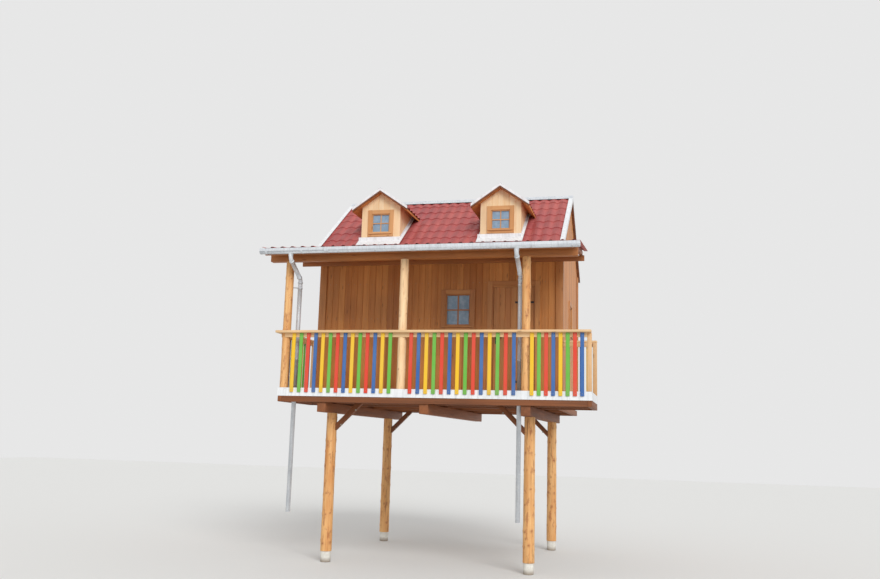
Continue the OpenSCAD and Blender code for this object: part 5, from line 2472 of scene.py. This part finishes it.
@dataclass
class Drainage(SubAssembly):
    """The gutter with its bead and joint sleeves, its brackets and the two downpipes."""

    bead: float = 0.009
    bead_share: float = 0.6
    sleeve: float = 0.07
    sleeve_places: tuple[float, ...] = (-1.62, -0.12, 1.30)
    sleeve_steps: int = 16
    centre_drop: float = 0.037
    rim_rise: float = 0.030
    skin: float = 0.0025

    def build(self) -> None:
        """Makes every piece of the sub-assembly."""
        for node in ("gutter", "gutter_brackets", "downpipes"):
            self.piece(f"{node}_sheet", plain_copy(node), Slot.GALVANISED, Finishes.zinc, node)
        low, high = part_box("gutter")
        form = Form(96)
        form.lathe([(self.bead, 0.0), (self.bead, high.x - low.x)],
                   at(low.x, low.y + self.bead, high.z - self.bead * self.bead_share), X, 16)
        inside = (high.y - low.y) / 2
        outside, steps = inside + self.skin, self.sleeve_steps
        turns = [math.pi * (1 + step / steps) for step in range(steps + 1)]
        arc = [at(0, math.cos(turn), math.sin(turn)) * outside for turn in turns]
        outer = [at(0, -outside, self.rim_rise), *arc, at(0, outside, self.rim_rise)]
        inner = [point * (inside / outside) for point in reversed(outer)]
        for place in self.sleeve_places:
            start = at(place, low.y + inside, high.z - self.centre_drop)
            form.extrude([start + point for point in outer + inner], X * self.sleeve)
        self.piece("gutter_joints", form, Slot.GALVANISED, Finishes.zinc)


@dataclass
class Studio:
    """The pale floor, the soft light and the camera at the photo's viewpoint."""

    eye: Vector = field(default_factory=lambda: at(3.651, -16.0535, 2.069))
    yaw: float = math.radians(13.634)
    pitch: float = math.radians(9.784)
    roll: float = math.radians(1.587)
    lens: float = 35.59
    sensor: float = 36.0
    floor_colour: Colour = chart(226, 226, 224)
    floor_rough: float = 0.9
    floor_reach: float = 40.0
    sky_colour: Colour = (1.0, 1.0, 1.0, 1.0)
    sky_light: float = 0.68
    sky_shown: float = 0.80
    sun_power: float = 1.8
    sun_width: float = math.radians(30)
    sun_turn: tuple[float, float, float] = (math.radians(57), 0.0, math.radians(30))

    def build(self) -> None:
        """Makes the floor, the lights and the camera."""
        self.floor()
        self.sky()
        self.sun()
        self.camera()
        bpy.context.scene.view_settings.view_transform = "Standard"

    def floor(self) -> None:
        """Makes the plain floor that the footings stand on."""
        reach = self.floor_reach
        mesh = bpy.data.meshes.new("studio_floor")
        corners = [(x, y, 0) for x, y in rectangle(-reach, reach, -reach, reach)]
        mesh.from_pydata(corners, [], [range(4)])
        sheet = ShaderSheet("studio_floor")
        sheet.set(Base_Color=self.floor_colour, Roughness=self.floor_rough)
        mesh.materials.append(sheet.material)
        linked("studio_floor", mesh)

    def sky(self) -> None:
        """Lights the scene evenly and shows a pale sky to the eye, to glass and in reflections."""
        world = bpy.data.worlds.new("studio_sky")
        world.use_nodes = True
        world.node_tree.nodes.clear()
        sheet = NodeSheet(world.node_tree)
        rays = sheet.add("ShaderNodeLightPath").outputs
        seen = Value(sheet, rays["Is Camera Ray"]) + Value(sheet, rays["Is Glossy Ray"])
        seen = (seen + Value(sheet, rays["Is Transmission Ray"])).band(0.0, 0.5)
        strength = self.sky_light + seen * (self.sky_shown - self.sky_light)
        inputs = {"Color": self.sky_colour, "Strength": strength}
        background = sheet.add("ShaderNodeBackground", inputs).outputs[0]
        sheet.add("ShaderNodeOutputWorld", {"Surface": background})
        bpy.context.scene.world = world

    def sun(self) -> None:
        """Adds one wide, soft sun from the front right."""
        light = bpy.data.lights.new("studio_sun", "SUN")
        light.energy, light.angle = self.sun_power, self.sun_width
        lamp = linked("studio_sun", light)
        lamp.rotation_euler = self.sun_turn

    def camera(self) -> None:
        """Puts the camera where the photo was taken from."""
        level_way = at(-math.sin(self.yaw), math.cos(self.yaw), 0)
        ahead = level_way * math.cos(self.pitch) + Z * math.sin(self.pitch)
        right = at(math.cos(self.yaw), math.sin(self.yaw), 0)
        up = right.cross(ahead)
        rolled_right = right * math.cos(self.roll) + up * math.sin(self.roll)
        rolled_up = up * math.cos(self.roll) - right * math.sin(self.roll)
        turn = Matrix((rolled_right, rolled_up, -ahead)).transposed().to_4x4()
        turn.translation = self.eye
        data = bpy.data.cameras.new("photo_viewpoint")
        data.lens, data.sensor_width, data.sensor_fit = self.lens, self.sensor, "HORIZONTAL"
        camera = linked("photo_viewpoint", data)
        camera.matrix_world = turn
        bpy.context.scene.camera = camera


def main() -> None:
    """Builds the house's pieces, then the studio."""
    logging.basicConfig(level=logging.INFO, format="%(name)s: %(message)s")
    plane = RoofPlane.from_part()
    parts: list[SubAssembly] = [
        Groundwork(), Platform(), Veranda(), Railing(), House(plane), MainRoof(plane),
        Dormer(plane, "left"), Dormer(plane, "right"), RoofTrim(plane), Drainage(),
    ]
    for part in parts:
        log.info("building %s", type(part).__name__)
        part.build()
    Studio().build()


if __name__ == "__main__":
    main()
